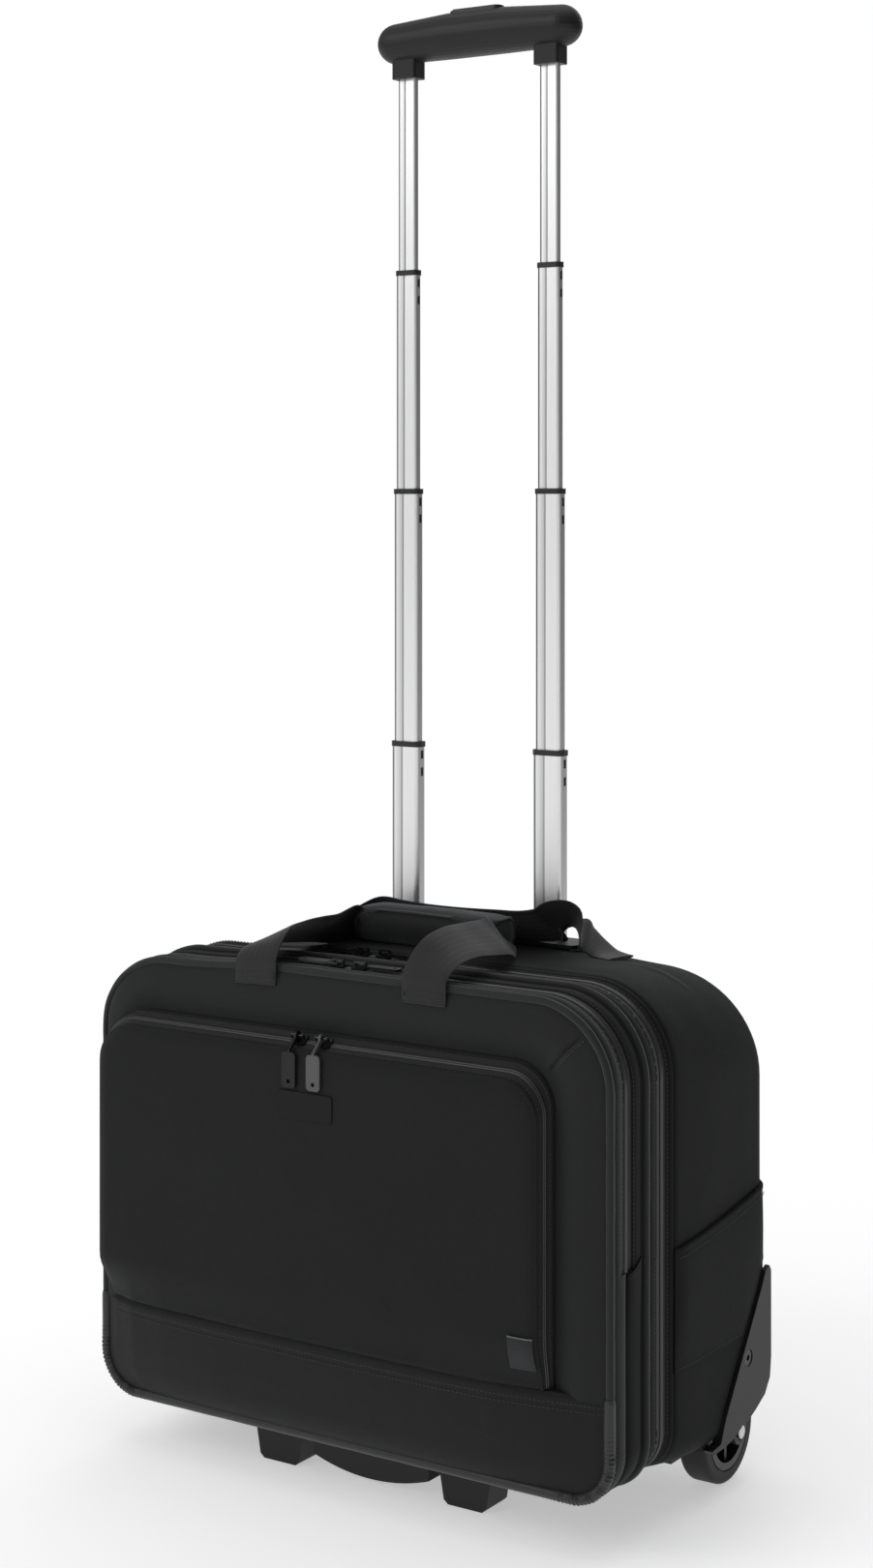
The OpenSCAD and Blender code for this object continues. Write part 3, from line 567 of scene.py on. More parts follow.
def stitch(body, pts, nrm, pitch=3.3, length=2.5, w=0.7, h=0.42, lift=0.12, closed=False):
    """a row of stitches along pts, lying on the surface with normals nrm"""
    pts, nrm = np.asarray(pts, float), np.asarray(nrm, float)
    if nrm.ndim == 1:
        nrm = np.tile(nrm, (len(pts), 1))
    L = cumlen(pts)
    n = max(int(L[-1] / pitch), 1)
    c = (np.arange(n) + 0.5) * L[-1] / n
    q = lambda a, s: np.stack([np.interp(s, L, a[:, i]) for i in range(3)], -1)
    C, A, B, N = q(pts, c), q(pts, np.clip(c - 1, 0, L[-1])), q(pts, np.clip(c + 1, 0, L[-1])), q(nrm, c)
    T = B - A
    T /= np.linalg.norm(T, axis=1)[:, None] + 1e-12
    N = N - (N * T).sum(1)[:, None] * T
    N /= np.linalg.norm(N, axis=1)[:, None] + 1e-12
    S = np.cross(T, N)
    V, F = THREAD.setdefault(body, ([], []))
    for i in range(n):
        b0 = len(V)
        cc = C[i] + N[i] * lift
        V.append(cc - T[i] * length / 2 - N[i] * 0.3)
        for e in (-0.3, 0.3):
            m = cc + T[i] * length * e
            V.extend([m + S[i] * w / 2, m + N[i] * h, m - S[i] * w / 2, m - N[i] * 0.25])
        V.append(cc + T[i] * length / 2 - N[i] * 0.3)
        for j in range(4):
            k = (j + 1) % 4
            F.append((b0, b0 + 1 + j, b0 + 1 + k))
            F.append((b0 + 1 + j, b0 + 5 + j, b0 + 5 + k, b0 + 1 + k))
            F.append((b0 + 9, b0 + 5 + k, b0 + 5 + j))


def ring_stitch(body, b, y, out, which="upper", zc=ZC, xb=None, **kw):
    o, s, _ = span(b, which, 4.0, zc, xb)
    x, z, nx, nz = at(o, s)
    stitch(body, np.c_[x + nx * out, np.full_like(x, y), z + nz * out], np.c_[nx, 0 * nx, nz], **kw)


# =====================================================================
# zippers along the case's outline
# =====================================================================
def zip_side(tag, b, which, y_in, y_out, body, zc=ZC, xb=None, replaces=(), top=-1.0, phase=0.0, coil=True):
    """one tape from y_out (hidden under the cloth) to y_in (its coil at the open line)"""
    d = 1 if y_in > y_out else -1
    e = y_in - d * 0.5
    prof = [(y_out, top - 0.8), (y_out, top), (e - d * 0.3, top), (e, top - 0.3), (e, top - 0.8)]
    ob = sweep("tape_" + tag, b, which, prof, body, M_tape, step=6.0, zc=zc, xb=xb, uvs=True, replaces=replaces, sharp=60)
    if coil:
        o, s, closed = span(b, which, 0.85, zc, xb)
        if closed:
            s = s[:len(s) // 2 * 2]
        x, z, nx, nz = at(o, s)
        alt = (np.arange(len(s)) + phase) % 2
        k = 6
        P = np.zeros((len(s), k, 3))
        for j in range(k):
            a = 2 * math.pi * j / k
            r = 0.82 + 0.26 * alt
            out = top + 0.35 + r * 0.8 * math.cos(a)
            yy = y_in - d * 0.55 + d * 0.5 * alt + r * 1.15 * math.sin(a)
            P[:, j] = np.c_[x + nx * out, yy, z + nz * out]
        V, F, _, _ = loft(P, cu=closed)
        mesh_obj("coil_" + tag, V, F, body, M_coil, sharp=70)
    return ob


zip_side("front_flap", FB, "upper", 17.5, 9.5, "front_flap", replaces=("zip_front_flap",))
zip_side("front_section", FB, "upper", 18.5, 27.0, "front_section", replaces=("zip_front_section",), phase=1)
zip_side("main_section", FB, "xb", 66.5, 57.5, "front_section", xb=185, replaces=("zip_main_section",))
zip_side("main_rear", FB, "xb", 67.5, 77.5, "main_case", xb=185, replaces=("zip_main_rear",), phase=1)

# =====================================================================
# front flap: cloth band, piping, lining, front panel, kick panel
# =====================================================================
LINE = 1
up = [(2.0, -1.4), (3.2, -0.1), (5.5, 0.6), (8.0, 0.7), (10.4, 0.35), (11.8, -0.3), (13.0, -0.95), (16.2, -1.02), (16.3, -1.5), (13.0, -2.2), (10.5, -3.0), (2.0, -3.0)]
sweep("flap_band_upper", FB, "upper", up, "front_flap", [M_cloth, M_lining], jm=[0] * 9 + [1, 1, 1], amp=0.5,
      free=[0, .6, 1, 1, .6, 0, 0, 0, 0, 0, 0, 0], seed=1, replaces=("flap_gusset",))
lo = [(2.0, -1.4), (3.2, -0.1), (6, 0.7), (10.0, 1.0), (14.0, 0.7), (16.4, 0.1), (17.5, -0.9), (17.6, -3.0), (2.0, -3.0)]
sweep("flap_band_lower", FB, "lower", lo, "front_flap", [M_cloth, M_lining], jm=[0] * 7 + [1, 1], amp=0.6,
      free=[0, .6, 1, 1, .6, 0.3, 0, 0, 0], seed=2)
ring_stitch("front_flap", FB, 12.9, -0.85, "upper", pitch=3.0)

# piping: a thin cloth cord above the kick panel's seam, a thicker coated one below it
KZ = 111.0


def lump(s, r, x, z):
    return r * (1 + 0.03 * np.sin(s / 9.0) + 0.02 * np.sin(s / 3.7))


cord("piping_front_upper", FB, "upper", 0.0, -2.0, 2.9, "front_flap", M_pipe, zc=KZ - 1, mod=lump, replaces=("front_piping",))


def gather(s, r, x, z):
    L = outline(FB)[2][-1]
    hw, z0, z1, rt, rq = FB
    ss = np.mod(s, L)
    a, c = hw - rq, hw - rq + math.pi / 2 * rq
    d = np.minimum(np.abs(ss - (a + c) / 2), np.abs(L - ss - (a + c) / 2))
    k = 1 - sm(d, 22, 52)
    g = r * (1 + 0.015 * np.sin(s / 6)) + k * (0.34 * np.sin(s / 2.9 * 2 * math.pi / 1.0) + 0.12 * np.sin(s / 1.9 * math.pi))
    end = 1 - sm(z, KZ - 3, KZ + 0.5)
    return g * (0.86 + 0.14 * end)


cord("piping_front_lower", FB, "lower", 0.1, -2.5, 3.9, "front_flap", M_kpipe, step=0.72, zc=KZ, k=14, mod=gather)


def full_slab(name, b, inset, y0, y1, body, mat, crown=0.0, replaces=(), cutters=(), rim=1.2):
    """closed panel over the whole outline, crowned a little, with a rounded rim"""
    rings = []
    steps = [(inset + rim, y0 + 0.0), (inset + 0.3, y0 + 0.3 * (y1 - y0)), (inset, (y0 + y1) / 2), (inset + 0.3, y1 - 0.3 * (y1 - y0)), (inset + rim, y1)]
    ins = [inset + 6, inset + 16, inset + 34, inset + 60, inset + 95, inset + 130]
    seq = [(i, y0 - crown * (1 - math.exp(-(i - inset) / 18))) for i in reversed(ins)] + steps + [(i, y1 + crown * (1 - math.exp(-(i - inset) / 18))) for i in ins]
    for i, y in seq:
        p = seg_outline(b, i)
        rings.append(np.c_[p[:, 0], np.full(len(p), y), p[:, 1]])
    V, F, _, _ = loft(np.array(rings), cu=False, cv=True)
    ob = mesh_obj(name, V, F, None, mat)
    for c in cutters:
        boolean(ob, c)
    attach(ob, body)
    if replaces:
        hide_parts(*replaces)
    return ob


def seg_outline(b, inset=0.0, counts=(26, 10, 44, 18, 56)):
    """outline with a fixed number of points in each piece, so that rings can be lofted"""
    hw, z0, z1, rt, rq = b
    hw -= inset; z0 += inset; z1 -= inset
    rt = max(rt - inset, 1.0); rq = max(rq - inset, 1.0)
    nb, na, ns, nt, ntop = counts
    out = []

    def line(a, c, n):
        for i in range(n):
            t = i / n
            out.append((a[0] + (c[0] - a[0]) * t, a[1] + (c[1] - a[1]) * t, 0, 0))

    def arc(cx, cz, r, a0, a1, n):
        for i in range(n):
            a = math.radians(a0 + (a1 - a0) * i / n)
            out.append((cx + r * math.cos(a), cz + r * math.sin(a), math.cos(a), math.sin(a)))
    line((0, z0), (hw - rq, z0), nb)
    arc(hw - rq, z0 + rq, rq, -90, 0, na)
    line((hw, z0 + rq), (hw, z1 - rt), ns)
    arc(hw - rt, z1 - rt, rt, 0, 90, nt)
    line((hw - rt, z1), (-(hw - rt), z1), ntop)
    arc(-(hw - rt), z1 - rt, rt, 90, 180, nt)
    line((-hw, z1 - rt), (-hw, z0 + rq), ns)
    arc(-(hw - rq), z0 + rq, rq, 180, 270, na)
    line((-(hw - rq), z0), (0, z0), nb)
    p = np.array(out)
    # normals from the loop itself
    t = np.roll(p[:, :2], -1, 0) - np.roll(p[:, :2], 1, 0)
    t /= np.linalg.norm(t, axis=1)[:, None]
    p[:, 2], p[:, 3] = t[:, 1], -t[:, 0]
    return p


def box_obj(name, x0, x1, y0, y1, z0, z1):
    V = [(x, y, z) for x in (x0, x1) for y in (y0, y1) for z in (z0, z1)]
    F = [(0, 1, 3, 2), (4, 6, 7, 5), (0, 4, 5, 1), (2, 3, 7, 6), (0, 2, 6, 4), (1, 5, 7, 3)]
    return mesh_obj(name, V, F, None, M_lining)


def boolean(ob, cutter, op="DIFFERENCE"):
    m = ob.modifiers.new("cut", "BOOLEAN")
    m.operation = op
    m.solver = "EXACT"
    m.object = cutter
    dg = bpy.context.evaluated_depsgraph_get()
    me = bpy.data.meshes.new_from_object(ob.evaluated_get(dg))
    ob.modifiers.remove(m)
    old = ob.data
    ob.data = me
    bpy.data.meshes.remove(old)


def drop(*obs):
    for o in obs:
        me = o.data
        bpy.data.objects.remove(o)
        bpy.data.meshes.remove(me)


# lining and stiff board behind the whole front
full_slab("flap_lining", FB, 3.4, 1.6, 3.0, "front_flap", M_lining)

# front panel: puffed cloth between the piping and the pocket, with a mitred seam at the right corner
L_FB = outline(FB)[2][-1]
S_M = s_right(FB, FB[2] - FB[3]) + math.pi / 4 * FB[3]          # middle of the upper right corner
o_fb, s_fp, _ = span(FB, "upper", 4.5, KZ - 3)
s_fp = np.unique(np.r_[s_fp, S_M + np.array([-7, -5, -3.6, -2.6, -1.8, -1.1, -0.5, 0, 0.5, 1.1, 1.8, 2.6, 3.6, 5, 7])])
ins = np.array([1.5, 2.6, 4.0, 5.6, 7.6, 10, 13, 17, 21, 25, 29, 33, 36.5, 39.5, 42, 44, 46, 52])


def front_y(i):
    """depth of the front panel at inset i from the outline"""
    return -(0.2 + 4.6 * (1 - np.exp(-np.maximum(i - 2.4, 0) / 5.5)) * (1 - sm(i, 20, 45)) + 1.4 * sm(i, 10, 24) * (1 - sm(i, 30, 45.5)))


x, z, nx, nz = at(o_fb, s_fp)
P = np.zeros((len(s_fp), 2 * len(ins), 3))
for j, i in enumerate(ins):
    Q = np.c_[x - nx * i, np.zeros_like(x), z - nz * i]
    shrink = max((60 - i) / 60, 0.15)
    ds = (s_fp - S_M) * shrink
    yy = front_y(i) + wob(Q, 0.7, 60, 4.0) * sm(i, 3, 9) * (1 - sm(i, 36, 44))
    yy = yy + 1.5 * np.exp(-(ds / 1.15) ** 2) * sm(i, 4, 9) * (1 - sm(i, 40, 45)) - 0.35 * np.exp(-((np.abs(ds) - 3.4) / 1.6) ** 2) * sm(i, 4, 9) * (1 - sm(i, 40, 45))
    P[:, j] = np.c_[Q[:, 0], yy, Q[:, 2]]
    P[:, 2 * len(ins) - 1 - j] = np.c_[Q[:, 0], np.full_like(x, 1.7), Q[:, 2]]
V, F, _, _ = loft(P, cu=False, cv=True)
mesh_obj("front_cloth", V, F, "front_flap", M_cloth, replaces=("front_panel",), sharp=70)
for off in (3.2,):                                   # one topstitch beside the mitre
    q = np.array([np.ravel(at(o_fb, [S_M - off * 60 / max(60 - i, 10)])) for i in np.linspace(6, 40, 12)])
    ii = np.linspace(6, 40, 12)
    stitch("front_flap", np.c_[q[:, 0] - q[:, 2] * ii, front_y(ii) - 0.35, q[:, 1] - q[:, 3] * ii], (0, -1, 0), pitch=3.0)

# kick panel: coated cloth that swells out to the pocket's lower seam
BLx = [0, 6, 13, 33, 63, 113, 200, 420]; BLy = [0.0, 3.2, 6.5, 12.5, 16.2, 18.6, 19.6, 20.0]
BRx = [0, 8, 29, 48, 83, 123, 200, 420]; BRy = [0.4, 3.2, 7.0, 11.2, 16.6, 19.0, 19.8, 20.0]


def bulge(dl, dr):
    a = np.interp(dl, BLx, BLy) / 20.0
    c = np.interp(dr, BRx, BRy) / 20.0
    return 19.6 * a * c


def half_w(z, inset):
    r = 32 - inset
    zz = np.asarray(z, float)
    return np.where(zz < 70, 185 + np.sqrt(np.maximum(r * r - (70 - zz) ** 2, 0)), 217 - inset)


def seam_y(x):
    """depth of the seam between the pocket and the kick panel"""
    return -bulge(x + 214.5, 214.5 - x)


tt = np.linspace(-1, 1, 121)
tt = np.sign(tt) * (1 - (1 - np.abs(tt)) ** 1.55)
zr = np.r_[np.array([40.3, 41.2, 42.6, 44.5, 47, 50, 54]), np.linspace(59, 104, 13), np.array([106, 107.6, 108.9, 109.8, 110.5, 111.0])]
P = np.zeros((len(zr), len(tt), 3))
for i, zz in enumerate(zr):
    w = float(half_w(zz, 2.4))
    xx = w * tt
    f = np.interp(zz, [40, 43, 47, 52, 60, 75, 92, 106, 111], [0.02, 0.20, 0.38, 0.53, 0.68, 0.84, 0.95, 1.0, 1.0])
    yy = -bulge(xx + w, w - xx) * f
    Q = np.c_[xx, yy, np.full_like(xx, zz)]
    edge = np.clip(np.minimum(xx + w, w - xx) / 18, 0, 1)
    yy = yy + wob(Q, 0.9, 70, 9.0) * edge * math.sin(math.pi * min(max((zz - 40) / 71, 0), 1)) - 0.5 * edge * np.exp(-((zz - 107.0) / 1.6) ** 2)
    yy = yy + 1.7 * float(sm(zz, 108.6, 111.0)) * edge
    P[i] = np.c_[xx, yy, np.full_like(xx, zz)]
back = P.copy()
back[:, :, 1] = 1.6
P2 = np.concatenate([P, back[::-1]], 0)
V, F, _, _ = loft(np.transpose(P2, (1, 0, 2)), cu=False, cv=True)
mesh_obj("kick_cloth", V, F, "front_flap", M_kick, replaces=("kick_panel",), sharp=75)
KICK = P
for zz in (105.0, 100.6):
    i = int(np.argmin(np.abs(zr - zz)))
    row = np.array([[np.interp(zz, zr, P[:, j, 0]), np.interp(zz, zr, P[:, j, 1]) - 0.05, zz] for j in range(3, len(tt) - 3)])
    stitch("front_flap", row, (0, -1, 0.05), pitch=3.2)

# =====================================================================
# pocket
# =====================================================================
def pocket_line(x0, x1, z0, z1, r, counts=(40, 12, 60)):
    nl, na, nt = counts
    out = []
    for i in range(nl):
        t = i / nl
        out.append((x0, z0 + (z1 - r - z0) * t, -1, 0))
    for i in range(na):
        a = math.radians(180 - 90 * i / na)
        out.append((x0 + r + r * math.cos(a), z1 - r + r * math.sin(a), math.cos(a), math.sin(a)))
    for i in range(nt):
        t = i / nt
        out.append((x0 + r + (x1 - x0 - 2 * r) * t, z1, 0, 1))
    for i in range(na):
        a = math.radians(90 - 90 * i / na)
        out.append((x1 - r + r * math.cos(a), z1 - r + r * math.sin(a), math.cos(a), math.sin(a)))
    for i in range(nl + 1):
        t = i / nl
        out.append((x1, z1 - r + (z0 - z1 + r) * t, 1, 0))
    return np.array(out)


PB = pocket_line(-209.5, 173, KZ, 326, 30)
PF = pocket_line(-206.0, 168.4, KZ, 313.4, 27)


def pinch(x, z):
    """how far the pocket's depth closes towards its lower seam, 0 at the seam, 1 above"""
    return sm(z, KZ - 1, KZ + 34)


def edge_y(x, z):
    """depth of the pocket's front edge"""
    k = pinch(x, z)
    return -18.0 * k + (seam_y(x) * 0.93 + 0.4) * (1 - k)


def gusset_point(t):
    """section of the pocket's side at t (0 at the front panel, 1 at the face)"""
    p = PB[:, :2] * (1 - t) + PF[:, :2] * t
    n = PB[:, 2:] * (1 - t) + PF[:, 2:] * t
    n = n / np.linalg.norm(n, axis=1)[:, None]
    yb = -0.9 + 0 * p[:, 0]
    ye = edge_y(PF[:, 0], PF[:, 1])
    y = yb * (1 - t) + ye * t
    return p, n, y


# unit vector out of the bevelled side
BV = math.atan(13 / 18)
ts = np.array([0.0, 0.03, 0.07, 0.12, 0.16, 0.19, 0.22, 0.26, 0.36, 0.44, 0.47, 0.53, 0.56, 0.66, 0.76, 0.82, 0.86, 0.91, 0.96, 1.0, 1.03])
hh = np.array([-1.0, -0.1, 0.6, 0.9, 0.7, 0.3, -0.3, -0.5, -0.55, -0.55, -0.7, -0.7, -0.55, -0.55, -0.5, -0.3, 0.4, 0.9, 0.9, 0.2, -0.9])


def side_out(nrm):
    # outward direction: sideways/upward plus forward, by the local bevel
    ob = np.c_[nrm[:, 0] * 0.95, -0.42 + 0 * nrm[:, 0], nrm[:, 1] * 0.82]
    return ob / np.linalg.norm(ob, axis=1)[:, None]


P = np.zeros((len(PB), len(ts) * 2, 3))
for j, (t, h) in enumerate(zip(ts, hh)):
    p, n, y = gusset_point(t)
    d = side_out(n)
    left = (PB[:, 0] < -190) & (PB[:, 1] < 296)
    h_ = np.where(left, max(h, 0.25 + 1.1 * math.sin(math.pi * min(t, 1))), h)       # no zipper down the left side
    base = np.c_[p[:, 0], y, p[:, 1]]
    P[:, j] = base + d * h_[:, None]
    P[:, 2 * len(ts) - 1 - j] = base - d * 2.6
V, F, _, _ = loft(P, cu=False, cv=True)
jm = [0] * 5 + [1] * 9 + [0] * (2 * len(ts) - 14)
MI = []
for i in range(len(PB) - 1):
    for j in range(2 * len(ts)):
        k = jm[j]
        if PB[i, 0] < -200 and PB[i, 1] < 290:
            k = 0
        MI.append(k)
MI += [0, 0]
U = cumlen(np.c_[PB[:, :2], 0 * PB[:, 0]])
UV = []
vs = np.r_[ts * 24, ts[::-1] * 24 + 30, 60]
for i in range(len(PB) - 1):
    for j in range(2 * len(ts)):
        UV += [(U[i] * .001, vs[j] * .001), (U[i + 1] * .001, vs[j] * .001), (U[i + 1] * .001, vs[j + 1] * .001), (U[i] * .001, vs[j + 1] * .001)]
UV += [(0, 0)] * (4 * len(ts))
mesh_obj("pocket_side", V, F, "front_flap", [M_pocket, M_tape], uv=UV, midx=MI, replaces=("pocket_gusset",), sharp=80)

# coil of the pocket's zipper: two rows of teeth on either side of t = 0.5
pts, nn, yy = gusset_point(0.5)
sel = ~((PB[:, 0] < -195) & (PB[:, 1] < 280))
line = np.c_[pts[:, 0], yy, pts[:, 1]][sel]
dirs = side_out(nn)[sel]
p1, n1, y1 = gusset_point(0.9)
p0, n0, y0 = gusset_point(0.1)
acr = (np.c_[p1[:, 0], y1, p1[:, 1]] - np.c_[p0[:, 0], y0, p0[:, 1]])[sel]
acr /= np.linalg.norm(acr, axis=1)[:, None]
Lc = cumlen(line)
sc = np.arange(0, Lc[-1], 0.85)
q = lambda a: np.stack([np.interp(sc, Lc, a[:, i]) for i in range(3)], -1)
c0, d0, a0 = q(line), q(dirs), q(acr)
d0 /= np.linalg.norm(d0, axis=1)[:, None]; a0 /= np.linalg.norm(a0, axis=1)[:, None]
for sgn in (-1, 1):
    alt = (np.arange(len(sc)) + (sgn > 0)) % 2
    P = np.zeros((len(sc), 6, 3))
    for j in range(6):
        a = 2 * math.pi * j / 6
        r = 0.8 + 0.25 * alt
        P[:, j] = c0 + a0 * (sgn * (1.05 - 0.45 * alt) + r * math.sin(a) * 1.05)[:, None] + d0 * (-0.45 + r * 0.75 * math.cos(a))[:, None]
    V, F, _, _ = loft(P)
    mesh_obj("coil_pocket_%s" % ("in" if sgn < 0 else "out"), V, F, "front_flap", M_coil, sharp=70)
for t in (0.20, 0.80):
    p, n, y = gusset_point(t)
    d = side_out(n)
    b_ = np.c_[p[:, 0], y, p[:, 1]] + d * 0.15
    stitch("front_flap", b_[sel], d[sel], pitch=2.9, length=2.2, w=0.6)

# pocket face: crowned padded panel, pinched in along its edges
zf = np.r_[KZ + 0.05, 111.6, 112.4, 113.5, 115, 117, 120, np.linspace(125, 285, 34), 288, 291, 294, 297, 300, 302.5, 305, 307, 308.8, 310.3, 311.5, 312.4, 313.0, 313.4]
tx = np.linspace(-1, 1, 117)
tx = np.sign(tx) * (1 - (1 - np.abs(tx)) ** 1.7)
cxp, hwp, zt, rp = -18.8, 187.2, 313.4, 27.0


def face_half(z):
    z = np.asarray(z, float)
    dz = np.maximum(z - (zt - rp), 0)
    return hwp - rp + np.sqrt(np.maximum(rp * rp - dz * dz, 0))


def face_dist(x, z):
    """distance to the face's edge"""
    x = np.asarray(x, float); z = np.asarray(z, float)
    dx = hwp - np.abs(x - cxp)
    dz = zt - z
    inx, inz = rp - dx, rp - dz
    corner = (inx > 0) & (inz > 0)
    return np.where(corner, rp - np.hypot(inx, inz), np.minimum(dx, dz))


def face_y(x, z):
    d = np.maximum(face_dist(x, z), 0)
    k = pinch(x, z)
    e = 2.4 * (1 - np.exp(-d / 3.2))
    crown = 1.5 * np.exp(-((z - 200) / 62.0) ** 2) * np.cos(np.clip((x - cxp) / hwp, -1, 1) * math.pi / 2) ** 0.7
    up_ = -(17.9 + e + crown)
    low = seam_y(x) * (1 - 0.06 * np.exp(-d / 4.0)) + 1.6 * (1 - sm(z, KZ, KZ + 2.6)) + 0.4
    return up_ * k + low * (1 - k)


P = np.zeros((len(zf), len(tx), 3))
for i, zz in enumerate(zf):
    xx = cxp + float(face_half(zz)) * tx
    yy = face_y(xx, np.full_like(xx, zz))
    Q = np.c_[xx, yy, np.full_like(xx, zz)]
    d = np.maximum(face_dist(xx, np.full_like(xx, zz)), 0)
    calm = 1 - np.exp(-(((xx + 20) / 45) ** 2 + ((zz - 300) / 32) ** 2))
    yy = yy + wob(Q, 0.75, 85, 12.0) * sm(d, 2, 22) * calm + wob(Q, 0.3, 30, 3.0) * sm(d, 2, 14) * calm
    P[i] = np.c_[xx, yy, np.full_like(xx, zz)]
FACE = P
back = P.copy()
back[:, :, 1] += 2.0
P2 = np.concatenate([P, back[::-1]], 0)
V, F, _, _ = loft(np.transpose(P2, (1, 0, 2)), cu=False, cv=True)
mesh_obj("pocket_front", V, F, "front_flap", M_pocket, replaces=("pocket_face",), sharp=80)

# woven side label with no mark on it, folded over at the top
xs = np.linspace(148.8, 167.2, 9); zs = np.r_[124.6, 125.2, np.linspace(128, 144, 6), 146.6, 147.2]
P = np.zeros((len(xs), len(zs) * 2, 3))
for i, xx in enumerate(xs):
    for j, zz in enumerate(zs):
        y = float(face_y(np.array([xx]), np.array([zz]))[0]) - 1.15 - 0.25 * math.sin(math.pi * (zz - 124) / 24)
        P[i, j] = (xx, y, zz)
        P[i, 2 * len(zs) - 1 - j] = (xx, y + 0.7, zz)
V, F, _, _ = loft(P)
mesh_obj("side_label", V, F, "front_flap", M_label, replaces=("flag_label",))
tube3("side_label_edge", [(xx, float(face_y(np.array([xx]), np.array([147.0]))[0]) - 1.35, 147.0 + 0.0 * i) for i, xx in enumerate(xs)], 0.42, "front_flap", M_labeledge, k=6)

# =====================================================================
# middle section: cloth bands, piping, divider, bellows, hinges
# =====================================================================
inner = [(62.3, -1.7), (58.0, -3.0), (25.3, -3.0)]
up = [(25.2, -1.7), (25.4, -0.95), (26.6, -0.3), (29, 0.25), (33, 0.3), (36, -0.2), (38, -1.0), (39.8, -0.6), (41.5, 0.2), (44, 0.3), (46.5, 0.3),
      (48.5, 0.8), (51.5, 1.05), (55.0, 0.75), (57.0, -0.1), (58.6, -0.95), (62.2, -1.02)] + inner
sweep("section_band_upper", FB, "upper", up, "front_section", [M_side_shaded, M_lining], jm=[0] * 17 + [1] * 3, amp=0.5,
      free=[0, 0, .3, 1, 1, .6, 0, .3, .3, 0, 0, 1, 1, .8, 0, 0, 0, 0, 0, 0], seed=5, replaces=("section_gusset",))
lo = [(18.35, -3.0), (18.4, -0.9), (19.6, 0.2), (23, 0.8), (28, 0.9), (33, 0.5), (36, -0.1), (38, -1.0), (39.8, -0.6), (41.5, 0.2), (44, 0.3), (46.5, 0.3),
      (48.5, 0.8), (51.5, 1.05), (55.0, 0.75), (57.0, -0.1), (58.0, -0.9), (58.0, -3.0)]
sweep("section_band_lower", FB, "lower", lo, "front_section", [M_side_shaded, M_lining], jm=[0] * 16 + [1, 1], amp=0.6,
      free=[0, 0, 0, 1, 1, 1, .6, 0, .3, .3, 0, 0, 1, 1, .8, 0, 0, 0], seed=6)
# cloth strip beside the main zipper below the front zipper's end, on the sides and round the corners
o, s_, _ = span(FB, "lower", 4.0, ZC)
sR = s_right(FB, ZC)
for tag, a, c in (("r", 185.0, sR), ("l", L_FB - sR, L_FB - 185.0)):
    sweep("section_hem_" + tag, FB, "x", [(57.6, -3.0), (57.6, -0.95), (59.0, -0.98), (62.2, -1.02), (62.3, -1.7), (59, -3.0)], "front_section", [M_side_shaded], sfrom=a, sto=c)
ring_stitch("front_section", FB, 27.3, 0.05, "upper", pitch=3.0)
ring_stitch("front_section", FB, 58.9, -0.85, "xb", xb=185, pitch=3.0)
cord("piping_section", FB, "xb", 44.0, 0.1, 2.75, "front_section", M_pipe, xb=110, mod=lump, replaces=("section_piping",))

# patch that closes the end of the front zipper on each side, with a curved hem
for sx in (1, -1):
    ys = np.r_[18.7, 19.4, np.linspace(21, 37, 12)]
    zs = np.r_[np.linspace(0, 1, 9)]
    P = np.zeros((len(ys), 2 * len(zs), 3))
    for i, y in enumerate(ys):
        top = 188.5 + 8.5 * ((y - 18) / 20.0) ** 1.4
        for j, t in enumerate(zs):
            zz = 150 + (top - 150) * t
            prof_ = np.interp(y, [18.4, 19.6, 23, 28, 33, 36, 38], [-0.9, 0.2, 0.8, 0.9, 0.5, -0.1, -1.0])
            off = prof_ + 0.15 + 0.75 * float(sm(t, 0.1, 0.85)) + (0.35 if t > 0.9 else 0)
            P[i, j] = (sx * (217 + off), y, zz)
            P[i, 2 * len(zs) - 1 - j] = (sx * (217 + off - 1.6), y, zz)
    V, F, _, _ = loft(P)
    mesh_obj("zip_end_patch_%s" % ("r" if sx > 0 else "l"), V, F, "front_section", M_side_shaded, sharp=70)
    stitch("front_section", [(sx * (217 + np.interp(y, [18.4, 19.6, 23, 28, 33, 36, 38], [-0.9, 0.2, 0.8, 0.9, 0.5, -0.1, -1.0]) + 0.95), y, 188.5 + 8.5 * ((y - 18) / 20.0) ** 1.4 - 3.2) for y in np.linspace(19.5, 36.5, 10)], (sx, 0, 0), pitch=2.8)

full_slab("divider_pad", FB, 3.1, 42.9, 45.1, "front_section", M_lining, crown=1.2, replaces=("divider_panel",))

